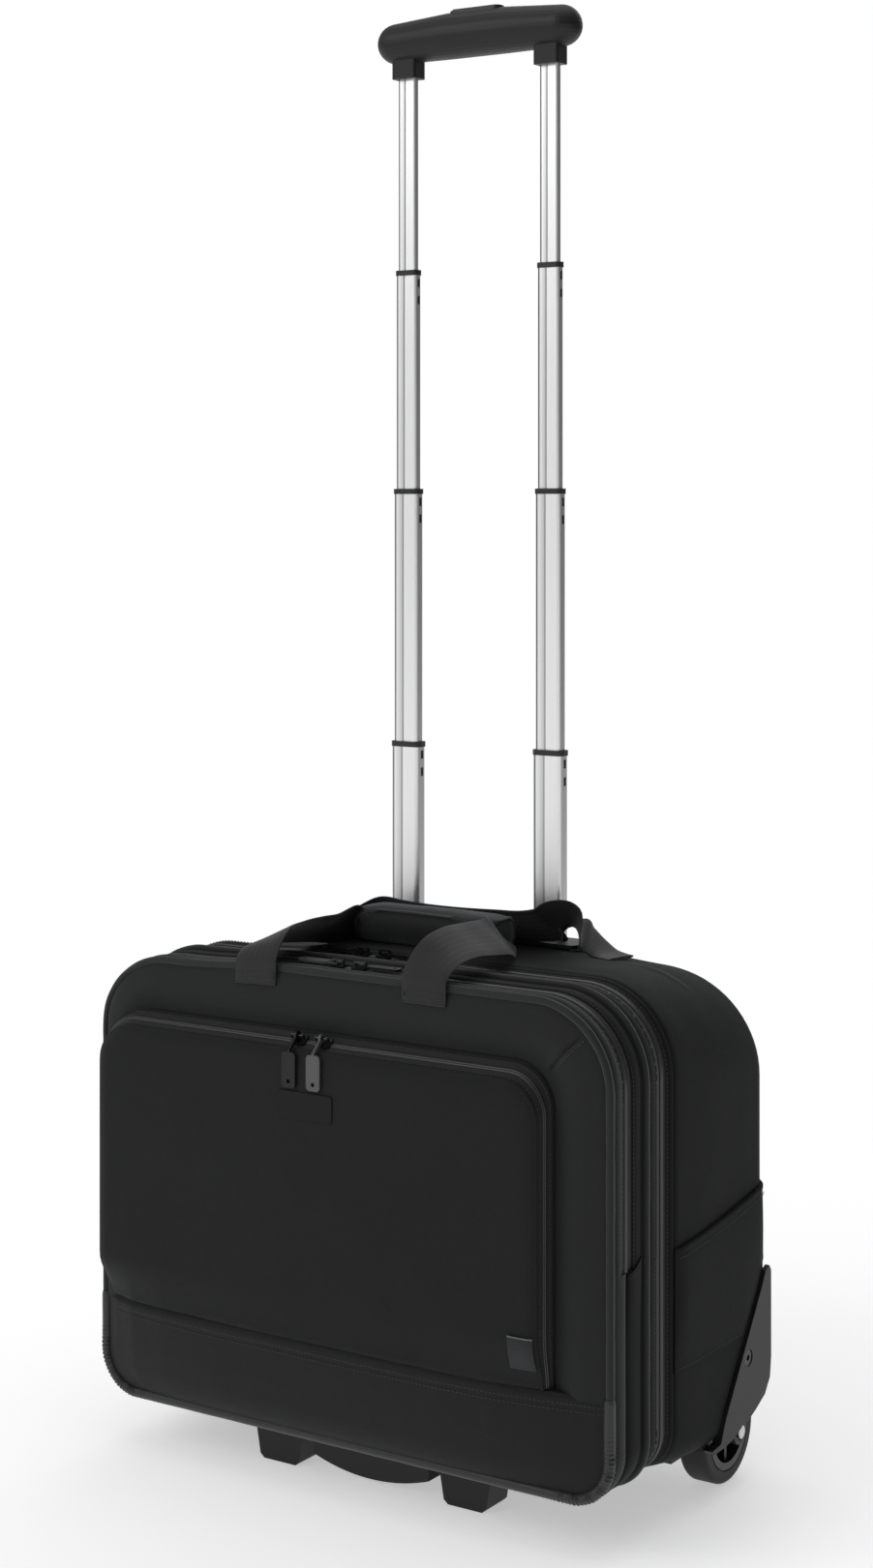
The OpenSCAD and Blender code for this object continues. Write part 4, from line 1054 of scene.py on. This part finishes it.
# bellows: a folded gusset at each side, sewn to the flap in front and to the section behind
for sx in (1, -1):
    zs = np.linspace(74, 189, 24)
    us = np.linspace(0, 1, 17)
    P = np.zeros((len(zs), 2 * len(us), 3))
    for i, zz in enumerate(zs):
        depth = 6 + 27 * (zz - 74) / 115.0
        for j, u in enumerate(us):
            a = 1 - abs(2 * u - 1)
            xx = 213.6 - depth * a ** 0.9
            y = 15.2 + 6.2 * u + 0.5 * math.sin(math.pi * 2 * u) * a
            y = 15.2 + (17.6 - 15.2) * min(2 * u, 1) + (21.6 - 17.6) * max(2 * u - 1, 0) + 0.35 * math.sin(u * 9 + zz * 0.05) * a
            P[i, j] = (sx * xx, y, zz)
            P[i, 2 * len(us) - 1 - j] = (sx * xx, y + 0.55 if u > 0.5 else y - 0.55, zz)
    # thickness: second skin is offset outwards from the fold
    for i in range(len(zs)):
        for j, u in enumerate(us):
            k = 2 * len(us) - 1 - j
            P[i, k, 1] = P[i, j, 1] + (0.5 if u > 0.5 else -0.5)
            P[i, k, 0] = P[i, j, 0] - sx * 0.6 * (1 - abs(2 * u - 1) < 2) * (1 if abs(u - 0.5) < 0.12 else 0)
    V, F, _, _ = loft(P)
    ob = mesh_obj("bellows_%s" % ("r" if sx > 0 else "l"), V, F, None, M_bellow, replaces=("bellows",) if sx > 0 else ())
    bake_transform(ob)


def strip(name, x0, x1, ys, z_out, z_in, mat):
    xs = np.linspace(x0, x1, 60)
    P = np.zeros((len(xs), 2 * len(ys), 3))
    for j, y in enumerate(ys):
        P[:, j] = np.c_[xs, np.full_like(xs, y), np.full_like(xs, z_out[j])]
        P[:, 2 * len(ys) - 1 - j] = np.c_[xs, np.full_like(xs, y), np.full_like(xs, z_in[j])]
    V, F, _, _ = loft(P)
    ob = mesh_obj(name, V, F, None, mat)
    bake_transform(ob)
    return ob


ys = np.linspace(57.2, 77.5, 22)
strip("lid_hinge_cloth", -184.5, 184.5, ys, 37.75 + 0.15 * np.cos((ys - 67.3) / 10 * math.pi), 39.2 + 0 * ys, M_side_shaded)
ys = np.linspace(15.6, 20.4, 9)
strip("flap_hinge_cloth", -184.5, 184.5, ys, 37.5 + 0 * ys, 38.4 + 0 * ys, M_side_shaded)

# =====================================================================
# rear compartment
# =====================================================================
YT = [72, 84, 95, 110, 140, 160, 178, 192, 202, 212, 222]
HW = [217, 218.3, 219.2, 219.5, 219.5, 219.5, 219.5, 219.5, 219.3, 219.0, 219.0]
TOP = [369, 369.5, 369.9, 370.2, 369.8, 368.6, 366.8, 364.6, 362.6, 361.0, 360.4]
RT = [60, 62, 65, 69, 72, 74, 75, 76, 76, 76, 76]
RQ = [32, 28, 22, 17, 14, 14, 14, 14, 14, 14, 14]


def rear_b(y):
    return (float(np.interp(y, YT, HW)), 38.0, float(np.interp(y, YT, TOP)), float(np.interp(y, YT, RT)), float(np.interp(y, YT, RQ)))


RR = 15.0


def round_in(y):
    d = max(y - (221 - RR), 0)
    return RR - math.sqrt(max(RR * RR - d * d, 0))


def kz(z, nz):
    k = 0.30 + 0.70 * sm(z, 140, 200)
    return np.where(nz < -0.5, 0.3, k)


def rear_ring(y, off=0.0, extra=0.0, wob_amp=0.0, yy=None):
    """ring at depth y; off: outwards, extra: further in across the back"""
    b = rear_b(y)
    p = seg_outline(b, extra)
    nx, nz = p[:, 2], p[:, 3]
    ins_ = round_in(y) * kz(p[:, 1], nz)
    sag = 5.0 * sm(np.abs(p[:, 0]), 70, 165) * np.clip(nz, 0, 1) * sm(y, 95, 170) + 7.0 * sm(-p[:, 0], 60, 140) * np.clip(nz, 0, 1) * sm(y, 76, 96) * (1 - 0.6 * sm(y, 120, 190))
    X = p[:, 0] + nx * (off - ins_)
    Z = p[:, 1] + nz * (off - ins_) - sag
    Q = np.c_[X, np.full_like(X, y if yy is None else yy), Z]
    if wob_amp:
        calm = 1 - 0.8 * ((np.abs(X) < 100) & (Z > 350))
        low = np.where(nz < -0.5, 0.0, 1.0) * np.where(Z < 150, 0.4, 1.0)
        d = (wob(Q, wob_amp, 95, 20.0) + wob(Q, wob_amp * 0.35, 34, 7.0)) * calm * low
        Q[:, 0] += nx * d; Q[:, 2] += nz * d
    return Q


def to_core(Q, t, y):
    """ring Q drawn in towards a small core, to close the back"""
    C = Q.copy()
    C[:, 0] = np.clip(Q[:, 0], -70, 70)
    C[:, 2] = np.clip(Q[:, 2], 165, 235)
    R_ = Q * (1 - t) + C * t
    R_[:, 1] = y
    return R_


rings = []
r0 = rear_ring(216, off=-4.0, yy=217.2)
for t in (0.88, 0.66, 0.42, 0.2, 0.07):
    rings.append(to_core(r0, t, 217.4))
rings.append(r0)
for y in (211, 202, 190, 160, 130, 100, 84, 76):
    rings.append(rear_ring(y, off=-4.0))
rings.append(rear_ring(73.4, off=-2.8))
for y, off in ((72.2, -1.7), (72.25, -1.03), (75.6, -0.95), (76.8, -0.3), (78.6, 0.5), (79.8, 0.35), (80.9, -0.55), (82.2, 0.25), (84.5, 0.8)):
    rings.append(rear_ring(y, off=off))
for y in (88, 93, 99, 106, 114, 122, 131, 140, 150, 160, 170, 180, 189, 196, 201, 205, 208.5, 211.5, 214, 216, 217.6, 218.9, 219.9, 220.6, 221):
    rings.append(rear_ring(y, off=0.6, wob_amp=1.1 * float(sm(y, 86, 100)) * (1 - float(sm(y, 200, 218)))))
r1 = rings[-1]
for t, d in ((0.03, 0.8), (0.08, 1.4), (0.2, 2.0), (0.42, 2.3), (0.66, 2.3), (0.88, 2.3)):
    rings.append(to_core(r1, t, 221 + d))
n_in = 5 + 9 + 1
R = np.array(rings)
V, F, _, _ = loft(R, cu=False, cv=True)
MI = []
for i in range(len(R) - 1):
    MI += [1 if i < n_in - 1 else 0] * R.shape[1]
MI += [1, 0]
rear = mesh_obj("rear_shell", V, F, None, [M_side_shaded, M_lining], midx=MI, sharp=75)
G2 = [(129, 39), (142, 40.5), (150, 56), (206, 134), (212, 144), (218, 147), (221, 143), (221, 80), (219, 66), (211, 56), (196, 49), (185, 45), (172, 42), (160, 38), (146, 36.5), (132, 36)]


def prism(name, poly, x0, x1):
    n = len(poly)
    V = [(x0, y, z) for y, z in poly] + [(x1, y, z) for y, z in poly]
    F = [tuple(range(n)), tuple(range(2 * n - 1, n - 1, -1))] + [(i, (i + 1) % n, n + (i + 1) % n, n + i) for i in range(n)]
    return mesh_obj(name, V, F, None, M_lining)


cut = []
for sx in (1, -1):
    a, c = (176, 216) if sx > 0 else (-216, -176)
    cut.append(box_obj("cut_well%d" % sx, a, c, 128, 300, 0, 90))
    lowp = [(131.0, 30), (300, 30), (300, 90.4), (172.9, 90.4), (151.6, 60.6), (143.5, 43.0), (131.0, 41.0)]
    a, c = (214.5, 300) if sx > 0 else (-300, -214.5)
    cut.append(prism("cut_guard%d" % sx, lowp, a, c))
cut.append(box_obj("cut_bezel", -88, 88, 164, 190, 355, 390))
for c in cut:
    boolean(rear, c)
rear.data.polygons.foreach_set("use_smooth", [True] * len(rear.data.polygons))
rear.data.set_sharp_from_angle(angle=math.radians(60))
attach(rear, "main_case")
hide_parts("rear_gusset", "back_panel")
full_slab("false_back_lining", RB, 4.4, 160.1, 161.9, "main_case", M_lining, crown=0.8, replaces=("false_back",), cutters=(cut[0], cut[2]))
drop(*cut)
ring_stitch("main_case", FB, 75.2, -0.85, "xb", xb=185, pitch=3.0)
ring_stitch("main_case", FB, 79.4, 0.42, "xb", xb=185, pitch=3.0)


def side_x(y, z):
    """outer half width of the rear compartment at depth y and height z"""
    b = rear_b(y)
    k = 0.30 + 0.70 * float(sm(z, 140, 200))
    return b[0] + 0.6 - round_in(y) * k


def topline(y):
    return 190.5 + (y - 80) * 0.128 - 2.2 * math.sin(math.pi * min(max((y - 80) / 138.0, 0), 1))


# side pockets: a flat pocket of cloth with a slanted, hemmed mouth
for sx in (1, -1):
    ys = np.r_[81.2, 82.5, 85, np.linspace(90, 205, 24), 208, 211, 213.5, 215.5, 217.2, 218.6, 219.6]
    ts_ = np.r_[np.linspace(0, 0.9, 14), 0.93, 0.955, 0.975, 0.99, 1.0]
    P = np.zeros((len(ys), 2 * len(ts_), 3))
    for i, y in enumerate(ys):
        zl = 106.0 if y < 181 else 106 + 0
        if y > 182:
            zl = 108 + (y - 182) * 1.25
        zt_ = topline(y)
        for j, t in enumerate(ts_):
            zz = zl + (zt_ - zl) * t
            e = min((y - 80) / 8.0, 1) * min((222 - y) / 8.0, 1)
            off = 0.7 + e * (0.3 + 1.5 * math.sin(math.pi * min(t, 1) * 0.75) ** 1.2) + (0.55 * e if 0.94 < t < 0.995 else 0)
            off += 0.5 * noise.noise(Vector((y / 60, zz / 50, 3.3 * sx))) * e * math.sin(math.pi * t)
            near = float(sm(y - (150 + (zz - 56) * 56 / 78.0), -14, -2)) if zz < 150 else 0.0      # flat where it goes under the guard
            off = off * (1 - near) + 0.55 * near
            X = side_x(y, zz) + off
            P[i, j] = (sx * X, y, zz)
            P[i, 2 * len(ts_) - 1 - j] = (sx * (X - (1.5 if t > 0.9 else 1.1)), y, zz)
    V, F, _, _ = loft(P)
    mesh_obj("side_pocket_%s" % ("r" if sx > 0 else "l"), V, F, "main_case", M_side_shaded, replaces=("side_pockets",) if sx > 0 else (), sharp=70)
    stitch("main_case", [(sx * (side_x(y, topline(y) - 7) + 2.35 * min((y - 80) / 8.0, 1) * min((222 - y) / 8, 1) + 0.5), y, topline(y) - 6.8) for y in np.linspace(84, 214, 50)], (sx, 0, 0), pitch=3.2)
    stitch("main_case", [(sx * (side_x(y, 108) + 1.0), y, 108.0) for y in np.linspace(84, 178, 40)], (sx, 0, 0), pitch=3.2)

# =====================================================================
# webbing handles
# =====================================================================
def catmull(A, n_per=8):
    A = np.asarray(A, float)
    E = np.vstack([2 * A[0] - A[1], A, 2 * A[-1] - A[-2]])
    out = []
    for i in range(1, len(E) - 2):
        p0, p1, p2, p3 = E[i - 1], E[i], E[i + 1], E[i + 2]
        for k in range(n_per):
            t = k / n_per
            out.append(0.5 * ((2 * p1) + (-p0 + p2) * t + (2 * p0 - 5 * p1 + 4 * p2 - p3) * t * t + (-p0 + 3 * p1 - 3 * p2 + p3) * t ** 3))
    out.append(A[-1])
    return np.array(out)


def frame_of(A):
    c = A[:, :3]
    t = np.gradient(c, axis=0)
    t /= np.linalg.norm(t, axis=1)[:, None]
    a = A[:, 3:]
    a = a - (a * t).sum(1)[:, None] * t
    a /= np.linalg.norm(a, axis=1)[:, None]
    n = np.cross(t, a)
    return c, t, a, n


def ribbon(name, st, w, t, body, replaces=(), n_per=8):
    A = catmull(st, n_per)
    c, tt_, a, n = frame_of(A)
    m = 10
    sec = []
    for k in range(m + 1):
        u = -1 + 2 * k / m
        e = 1 - 0.55 * max(abs(u) - 0.86, 0) / 0.14
        sec.append((u * w / 2, t / 2 * e))
    for k in range(m, -1, -1):
        u = -1 + 2 * k / m
        e = 1 - 0.55 * max(abs(u) - 0.86, 0) / 0.14
        sec.append((u * w / 2, -t / 2 * e))
    sec = np.array(sec)
    P = np.zeros((len(A), len(sec), 3))
    for j, (u, h) in enumerate(sec):
        P[:, j] = c + a * u + n * h
    L = cumlen(c)
    vv = np.r_[sec[:, 0], sec[0, 0]] * 0.001
    V, F, UV, _ = loft(P, U=np.r_[L, L[-1]] * 0.001, Vv=vv)
    ob = mesh_obj(name, V, F, body, M_web, uv=UV, replaces=replaces, sharp=60)
    return ob, (c, tt_, a, n, L)


SW = 35.7
def front_leg(up_):
    return [[72, -5.0, 356, 1, 0, 0], [72, -5.2, 361, 1, 0, 0], [72, -5.0, 367, 1, 0, 0], [72, -4.3, 373.5, 1, 0, -0.05], [72.5, 4, 382, 1, 0, -0.2],
            [73.5, 18, 388.2 + 0.5 * up_, 0.92, 0, -0.38], [74.5, 38, 389.8 + up_, 0.87, 0, -0.48],
            [74.5, 60, 388.5 + up_, 0.82, 0.1, -0.55], [73.5, 80, 386.8 + up_, 0.72, 0.3, -0.6],
            [69.5, 96, 385.0 + 0.6 * up_, 0.5, 0.35, -0.72], [63.5, 107, 384.6 + 0.3 * up_, 0.12, 0.62, -0.66],
            [56, 113.5, 384.7, 0, 0.82, -0.48], [46, 115.8, 384.7, 0, 0.95, -0.25], [34, 116.4, 384.7, 0, 1, 0]]


mir = lambda s: [-s[0], s[1], s[2], -s[3], s[4], s[5]]
allst = front_leg(2.0) + [[20, 116.5, 384.7, 0, 1, 0], [0, 116.5, 384.7, 0, 1, 0], [-20, 116.5, 384.7, 0, 1, 0]] + [mir(s) for s in reversed(front_leg(-3.4))]
ob, (c, t_, a_, n_, L_) = ribbon("front_strap", allst, SW, 2.3, "front_flap", replaces=("front_handle",))
# sewn base of each leg: a boxed row of stitches and a turned end
for sx in (1, -1):
    for zz in (359.5, 363.5):
        stitch("front_flap", [(sx * (72 - 16 + 32 * k / 10), -6.3, zz) for k in range(11)], (0, -1, 0), pitch=3.0)
    stitch("front_flap", [(sx * (72 - 16), -6.3, zz) for zz in (359.5, 363.5)], (0, -1, 0), pitch=2.0)
    # turned-under end of the webbing
    P = np.zeros((9, 12, 3))
    for i, xx in enumerate(np.linspace(72 - SW / 2, 72 + SW / 2, 9)):
        for j in range(12):
            a = 2 * math.pi * j / 12
            P[i, j] = (sx * xx, -4.9 + 1.5 * math.sin(a), 355.9 + 0.9 * math.cos(a))
    V, F, UV, _ = loft(P, U=np.linspace(0, 0.036, 10), Vv=np.linspace(0, 0.012, 13))
    mesh_obj("front_strap_end_%s" % ("r" if sx > 0 else "l"), V, F, "front_flap", M_web, uv=UV)

rall = [[-134, 171.5, 365.6, 0, 1, -0.05], [-125, 171.5, 366.3, 0, 1, -0.05], [-115, 168, 368.2, -0.05, 1, -0.08], [-105, 161, 371.2, -0.1, 1, -0.12],
        [-95, 154, 374.5, -0.2, 0.93, -0.32], [-84, 150, 378, -0.15, 0.8, -0.58], [-74, 149, 382.5, -0.05, 0.72, -0.69], [-62, 150, 386, 0, 0.66, -0.75],
        [-45, 151.5, 385.5, 0, 0.72, -0.7], [-20, 152, 385, 0, 0.75, -0.66], [10, 152, 385, 0, 0.75, -0.66], [40, 152, 385.5, 0, 0.73, -0.69],
        [60, 152, 386, 0, 0.7, -0.7], [76, 151.5, 388.5, 0.03, 0.66, -0.74], [85, 151.5, 392.0, 0.25, 0.5, -0.82], [92.5, 154.5, 391.5, 0.4, 0.58, -0.71],
        [99, 160, 385.5, 0.32, 0.8, -0.5], [104, 165.5, 378, 0.16, 0.94, -0.28], [109, 169.5, 372.2, 0.04, 1, -0.08], [115, 171, 368.2, 0, 1, -0.04],
        [122, 171.5, 366.6, 0, 1, -0.05], [127, 171.5, 366.1, 0, 1, -0.06]]
ob, _ = ribbon("rear_strap", rall, SW, 2.3, "main_case", replaces=("rear_handle",))

# =====================================================================
# padded wrap of the front handle
# =====================================================================
def puff(ob, voxel, pressure, cap, frames=20):
    """swells a closed mesh with cloth pressure, and applies the result"""
    md = ob.modifiers.new("remesh", "REMESH")
    md.mode = "VOXEL"; md.voxel_size = voxel; md.use_smooth_shade = True
    dg = bpy.context.evaluated_depsgraph_get()
    me = bpy.data.meshes.new_from_object(ob.evaluated_get(dg))
    ob.modifiers.clear()
    ob.data = me
    before = np.array([v.co for v in me.vertices])
    cl = ob.modifiers.new("cloth", "CLOTH")
    s = cl.settings
    s.quality = 6
    s.mass = 0.15
    s.tension_stiffness = s.compression_stiffness = 12
    s.shear_stiffness = 8
    s.bending_stiffness = 0.4
    s.use_pressure = True
    s.uniform_pressure_force = pressure
    s.effector_weights.gravity = 0
    cl.point_cache.frame_start, cl.point_cache.frame_end = 1, frames
    sc_ = bpy.context.scene
    sc_.frame_start, sc_.frame_end = 1, frames
    for f in range(1, frames + 1):
        sc_.frame_set(f)
    dg = bpy.context.evaluated_depsgraph_get()
    ev = ob.evaluated_get(dg)
    after = np.array([v.co for v in ev.data.vertices])
    ob.modifiers.clear()
    sc_.frame_set(1)
    d = after - before
    l = np.linalg.norm(d, axis=1)
    k = np.where(l > cap, cap / np.maximum(l, 1e-9), 1.0)
    new = before + d * k[:, None]
    me.vertices.foreach_set("co", new.astype(np.float32).ravel())
    me.update()
    return ob


def wrap_sec(k, hx, hz, r, n=40):
    """rounded rectangle section in (y, z)"""
    out = []
    for cx, cz, a0 in ((hx - r, hz - r, 0), (-(hx - r), hz - r, 90), (-(hx - r), -(hz - r), 180), (hx - r, -(hz - r), 270)):
        for i in range(n // 4):
            a = math.radians(a0 + 90 * i / (n // 4 - 1))
            out.append((cx + r * math.cos(a), cz + r * math.sin(a)))
    return np.array(out)


CY, CZ = 116.5, 384.6
xs = np.r_[-61.5, -60.5, -58, np.linspace(-52, 52, 22), 58, 60.5, 61.5]
P = np.zeros((len(xs), 40, 3))
for i, xx in enumerate(xs):
    e = 1 - 0.13 * float(sm(abs(xx), 50, 61.5))
    q = wrap_sec(0, 18.6 * e, 13.4 * e, 9.5 * e)
    P[i] = np.c_[np.full(40, xx), CY + q[:, 0], CZ + q[:, 1]]
V, F, _, _ = loft(P)
wrap = mesh_obj("handle_wrap_pad", V, F, None, M_wrap)
puff(wrap, 0.0042, 4.0, 0.0042)
wrap.data.materials.clear()
wrap.data.materials.append(M_wrap)
bm = bmesh.new(); bm.from_mesh(wrap.data)
tree = BVHTree.FromBMesh(bm)
bm.free()


def on_wrap(x, phi, lift=0.0):
    """point on the wrap's surface at x, phi = 0 at the front and 90 on top"""
    a = math.radians(phi)
    d = Vector((0, -math.cos(a), math.sin(a)))
    o_ = V3(x, CY, CZ) + d * 0.08
    h = tree.ray_cast(o_, -d)
    if h[0] is None:
        return None
    p = h[0] + h[1] * (lift / 1000)
    return (p.x * 1000, p.y * 1000 + YM, p.z * 1000), tuple(h[1])


def wrap_path(keys, n, lift):
    keys = catmull(np.array(keys, float), 10)
    L = cumlen(np.c_[keys[:, 0], keys[:, 1] * 0.3, 0 * keys[:, 0]])
    s = np.linspace(0, L[-1], n)
    out = [on_wrap(float(np.interp(t, L, keys[:, 0])), float(np.interp(t, L, keys[:, 1])), lift) for t in s]
    out = [o_ for o_ in out if o_]
    return np.array([o_[0] for o_ in out]), np.array([o_[1] for o_ in out])


# press a soft channel into the pad beside the binding, then the binding and its stitches
co = np.array([v.co for v in wrap.data.vertices])
mm_ = co * 1000; mm_[:, 1] += YM
ph = np.degrees(np.arctan2(mm_[:, 2] - CZ, -(mm_[:, 1] - CY)))
d = np.abs(ph - (38 - 30 * sm(np.abs(mm_[:, 0]), 36, 56)))
dip = 0.9 * np.exp(-((d - 13) / 6.0) ** 2) * (np.abs(mm_[:, 0]) < 56)
rad = np.c_[0 * ph, mm_[:, 1] - CY, mm_[:, 2] - CZ]
rad /= np.linalg.norm(rad, axis=1)[:, None]
wr = np.array([noise.noise(Vector((m[0] / 16, m[1] / 22, m[2] / 22))) for m in mm_]) * 0.5
mm_ = mm_ + rad * (wr - dip)[:, None]
mm_[:, 1] -= YM
wrap.data.vertices.foreach_set("co", (mm_ / 1000).astype(np.float32).ravel())
wrap.data.polygons.foreach_set("use_smooth", [True] * len(wrap.data.polygons))
wrap.data.update()
ss = wrap.modifiers.new("sub", "SUBSURF"); ss.levels = 1; ss.render_levels = 1
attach(wrap, "front_flap"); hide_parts("handle_wrap")
bm = bmesh.new(); bm.from_mesh(wrap.data); tree = BVHTree.FromBMesh(bm); bm.free()
keys = [(-57.5, -50), (-58.5, -25), (-58.0, 2), (-54, 22), (-45, 36), (-20, 40), (0, 40), (18, 39), (32, 34), (42, 20), (47.0, 2), (49, -22), (49.5, -50)]
pp, nn_ = wrap_path(keys, 120, 0.15)
tube3("handle_wrap_binding", pp, 1.9, "front_flap", M_bind, k=10, ry=0.75, nrm=nn_)
keys2 = [(k[0] * 0.945, k[1] - (6 if k[1] > 20 else 0)) for k in keys]
pp, nn_ = wrap_path(keys2, 110, 0.1)
stitch("front_flap", pp, nn_, pitch=2.8, length=2.1, w=0.7)
# bound rims at the wrap's two ends
for sx in (1, -1):
    ring_ = [on_wrap(sx * 59.6, a, 0.1) for a in range(0, 360, 9)]
    ring_ = [r for r in ring_ if r]
    tube3("handle_wrap_rim_%s" % ("r" if sx > 0 else "l"), [r[0] for r in ring_], 1.7, "front_flap", M_bind, k=8, ry=0.8, nrm=np.array([r[1] for r in ring_]), closed=True)

# =====================================================================
# spring under the release button
# =====================================================================
slo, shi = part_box("button_spring")
sc0 = [(slo[i] + shi[i]) * 500 for i in range(3)]
an = np.linspace(0, 2 * math.pi * 5, 151)
zs = np.linspace(slo[2] * 1000 + 0.55, shi[2] * 1000 - 0.55, 151)
spring = tube3("coil_spring", np.c_[sc0[0] + 4 * np.cos(an), sc0[1] + YM + 4 * np.sin(an), zs], 0.5, "stage_1", M_steel, k=8)
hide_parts("button_spring")
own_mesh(spring)

# =====================================================================
# sewing thread, one piece per body
# =====================================================================
for body, (V, F) in THREAD.items():
    mesh_obj("stitches_" + body, V, F, body, M_thread, sharp=80)

# =====================================================================
# floor, light, camera
# =====================================================================
def stage_plane(name, size, z, mat):
    me = bpy.data.meshes.new(name)
    me.from_pydata([(-size, -size, z), (size, -size, z), (size, size, z), (-size, size, z)], [], [(0, 1, 2, 3)])
    me.materials.append(mat)
    ob = bpy.data.objects.new(name, me)
    bpy.context.collection.objects.link(ob)
    return ob


fl = NT("floor_white")
fl.color(fl.ramp(fl.noise(0.6, 2), [(0.3, (0.86, 0.86, 0.865)), (0.7, (0.88, 0.88, 0.885))]))
fl.set(Roughness=0.6, Specular_IOR_Level=0.1)
flen = fl.n("ShaderNodeVectorMath", operation="LENGTH")
fl.l(fl.tc.outputs["Object"], flen.inputs[0])
flr = fl.n("ShaderNodeMapRange", interpolation_type="SMOOTHSTEP")
flr.inputs["From Min"].default_value = 0.45
flr.inputs["From Max"].default_value = 1.25
fl.l(flen.outputs["Value"], flr.inputs["Value"])
flw = fl.n("ShaderNodeEmission")
flw.inputs["Color"].default_value = (1, 1, 1, 1)
flw.inputs["Strength"].default_value = 1.0
flm = fl.n("ShaderNodeMixShader")
fl.l(flr.outputs[0], flm.inputs[0])
fl.l(fl.b.outputs[0], flm.inputs[1])
fl.l(flw.outputs[0], flm.inputs[2])
fl.b.inputs["Emission Color"].default_value = (1, 1, 1, 1)
fl.b.inputs["Emission Strength"].default_value = 0.45
fl.l(flm.outputs[0], fl.t.nodes["Material Output"].inputs["Surface"])
stage_plane("floor", 14.0, 0.0, fl.m)


def area(name, loc, target, size, power, size_y=None, color=(1, 1, 1)):
    d = bpy.data.lights.new(name, "AREA")
    d.energy = power
    d.color = color
    d.shape = "RECTANGLE"
    d.size = size
    d.size_y = size_y or size
    o_ = bpy.data.objects.new(name, d)
    bpy.context.collection.objects.link(o_)
    o_.location = loc
    o_.rotation_euler = (Vector(target) - Vector(loc)).to_track_quat("-Z", "Y").to_euler()
    return o_


area("key", (-1.5, -2.6, 2.3), (0, 0, 0.35), 2.2, 26, 1.8)
area("top", (0.2, 0.1, 3.2), (0, 0, 0.2), 2.8, 20)
area("back", (-0.6, 2.8, 2.2), (0, 0, 0.4), 2.4, 14, 1.6)

dk = NT("dark_card")
dk.color(dk.ramp(dk.noise(3.0, 2), [(0.3, (0.06, 0.06, 0.06)), (0.7, (0.08, 0.08, 0.08))]))
dk.set(Roughness=0.9, Specular_IOR_Level=0.1)
dk.b.inputs["Emission Color"].default_value = (1, 1, 1, 1)
dk.b.inputs["Emission Strength"].default_value = 0.10
me = bpy.data.meshes.new("card")
me.from_pydata([(2.9, 0.1, 0.02), (1.1, 3.0, 0.02), (1.1, 3.0, 2.6), (2.9, 0.1, 2.6)], [], [(0, 1, 2, 3)])
me.materials.append(dk.m)
card = bpy.data.objects.new("card", me)
bpy.context.collection.objects.link(card)
card.visible_camera = False
card.visible_shadow = False

w = bpy.data.worlds.new("studio")
bpy.context.scene.world = w
w.use_nodes = True
nt = w.node_tree
bg = nt.nodes["Background"]
tc = nt.nodes.new("ShaderNodeTexCoord")
sep = nt.nodes.new("ShaderNodeSeparateXYZ")
nt.links.new(tc.outputs["Generated"], sep.inputs[0])
rp_ = nt.nodes.new("ShaderNodeValToRGB")
rp_.color_ramp.elements[0].position = 0.0
rp_.color_ramp.elements[0].color = (0.42, 0.42, 0.42, 1)
rp_.color_ramp.elements[1].position = 1.0
rp_.color_ramp.elements[1].color = (0.08, 0.08, 0.08, 1)
mr = nt.nodes.new("ShaderNodeMapRange")
mr.inputs["From Min"].default_value = -0.2
mr.inputs["From Max"].default_value = 0.9
nt.links.new(sep.outputs[0], mr.inputs["Value"])
nt.links.new(mr.outputs[0], rp_.inputs["Fac"])
lp = nt.nodes.new("ShaderNodeLightPath")
mx = nt.nodes.new("ShaderNodeMix")
mx.data_type = "RGBA"
nt.links.new(lp.outputs["Is Camera Ray"], mx.inputs[0])
nt.links.new(rp_.outputs[0], mx.inputs[6])
mx.inputs[7].default_value = (1.0, 1.0, 1.0, 1)
nt.links.new(mx.outputs[2], bg.inputs["Color"])
bg.inputs["Strength"].default_value = 1.0

cam = bpy.data.cameras.new("camera")
co_ = bpy.data.objects.new("camera", cam)
bpy.context.collection.objects.link(co_)
co_.location = (1.0543, -1.57897, 0.70107)
co_.rotation_euler = (math.radians(90), 0, math.radians(33.47))
cam.sensor_fit = "AUTO"
cam.sensor_width = 36
cam.lens = 59.6
cam.shift_x = 0.0024
cam.shift_y = -0.1825
cam.clip_end = 100
cam.dof.use_dof = False
bpy.context.scene.camera = co_
bpy.context.scene.view_settings.view_transform = "Standard"
bpy.context.scene.view_settings.look = "None"
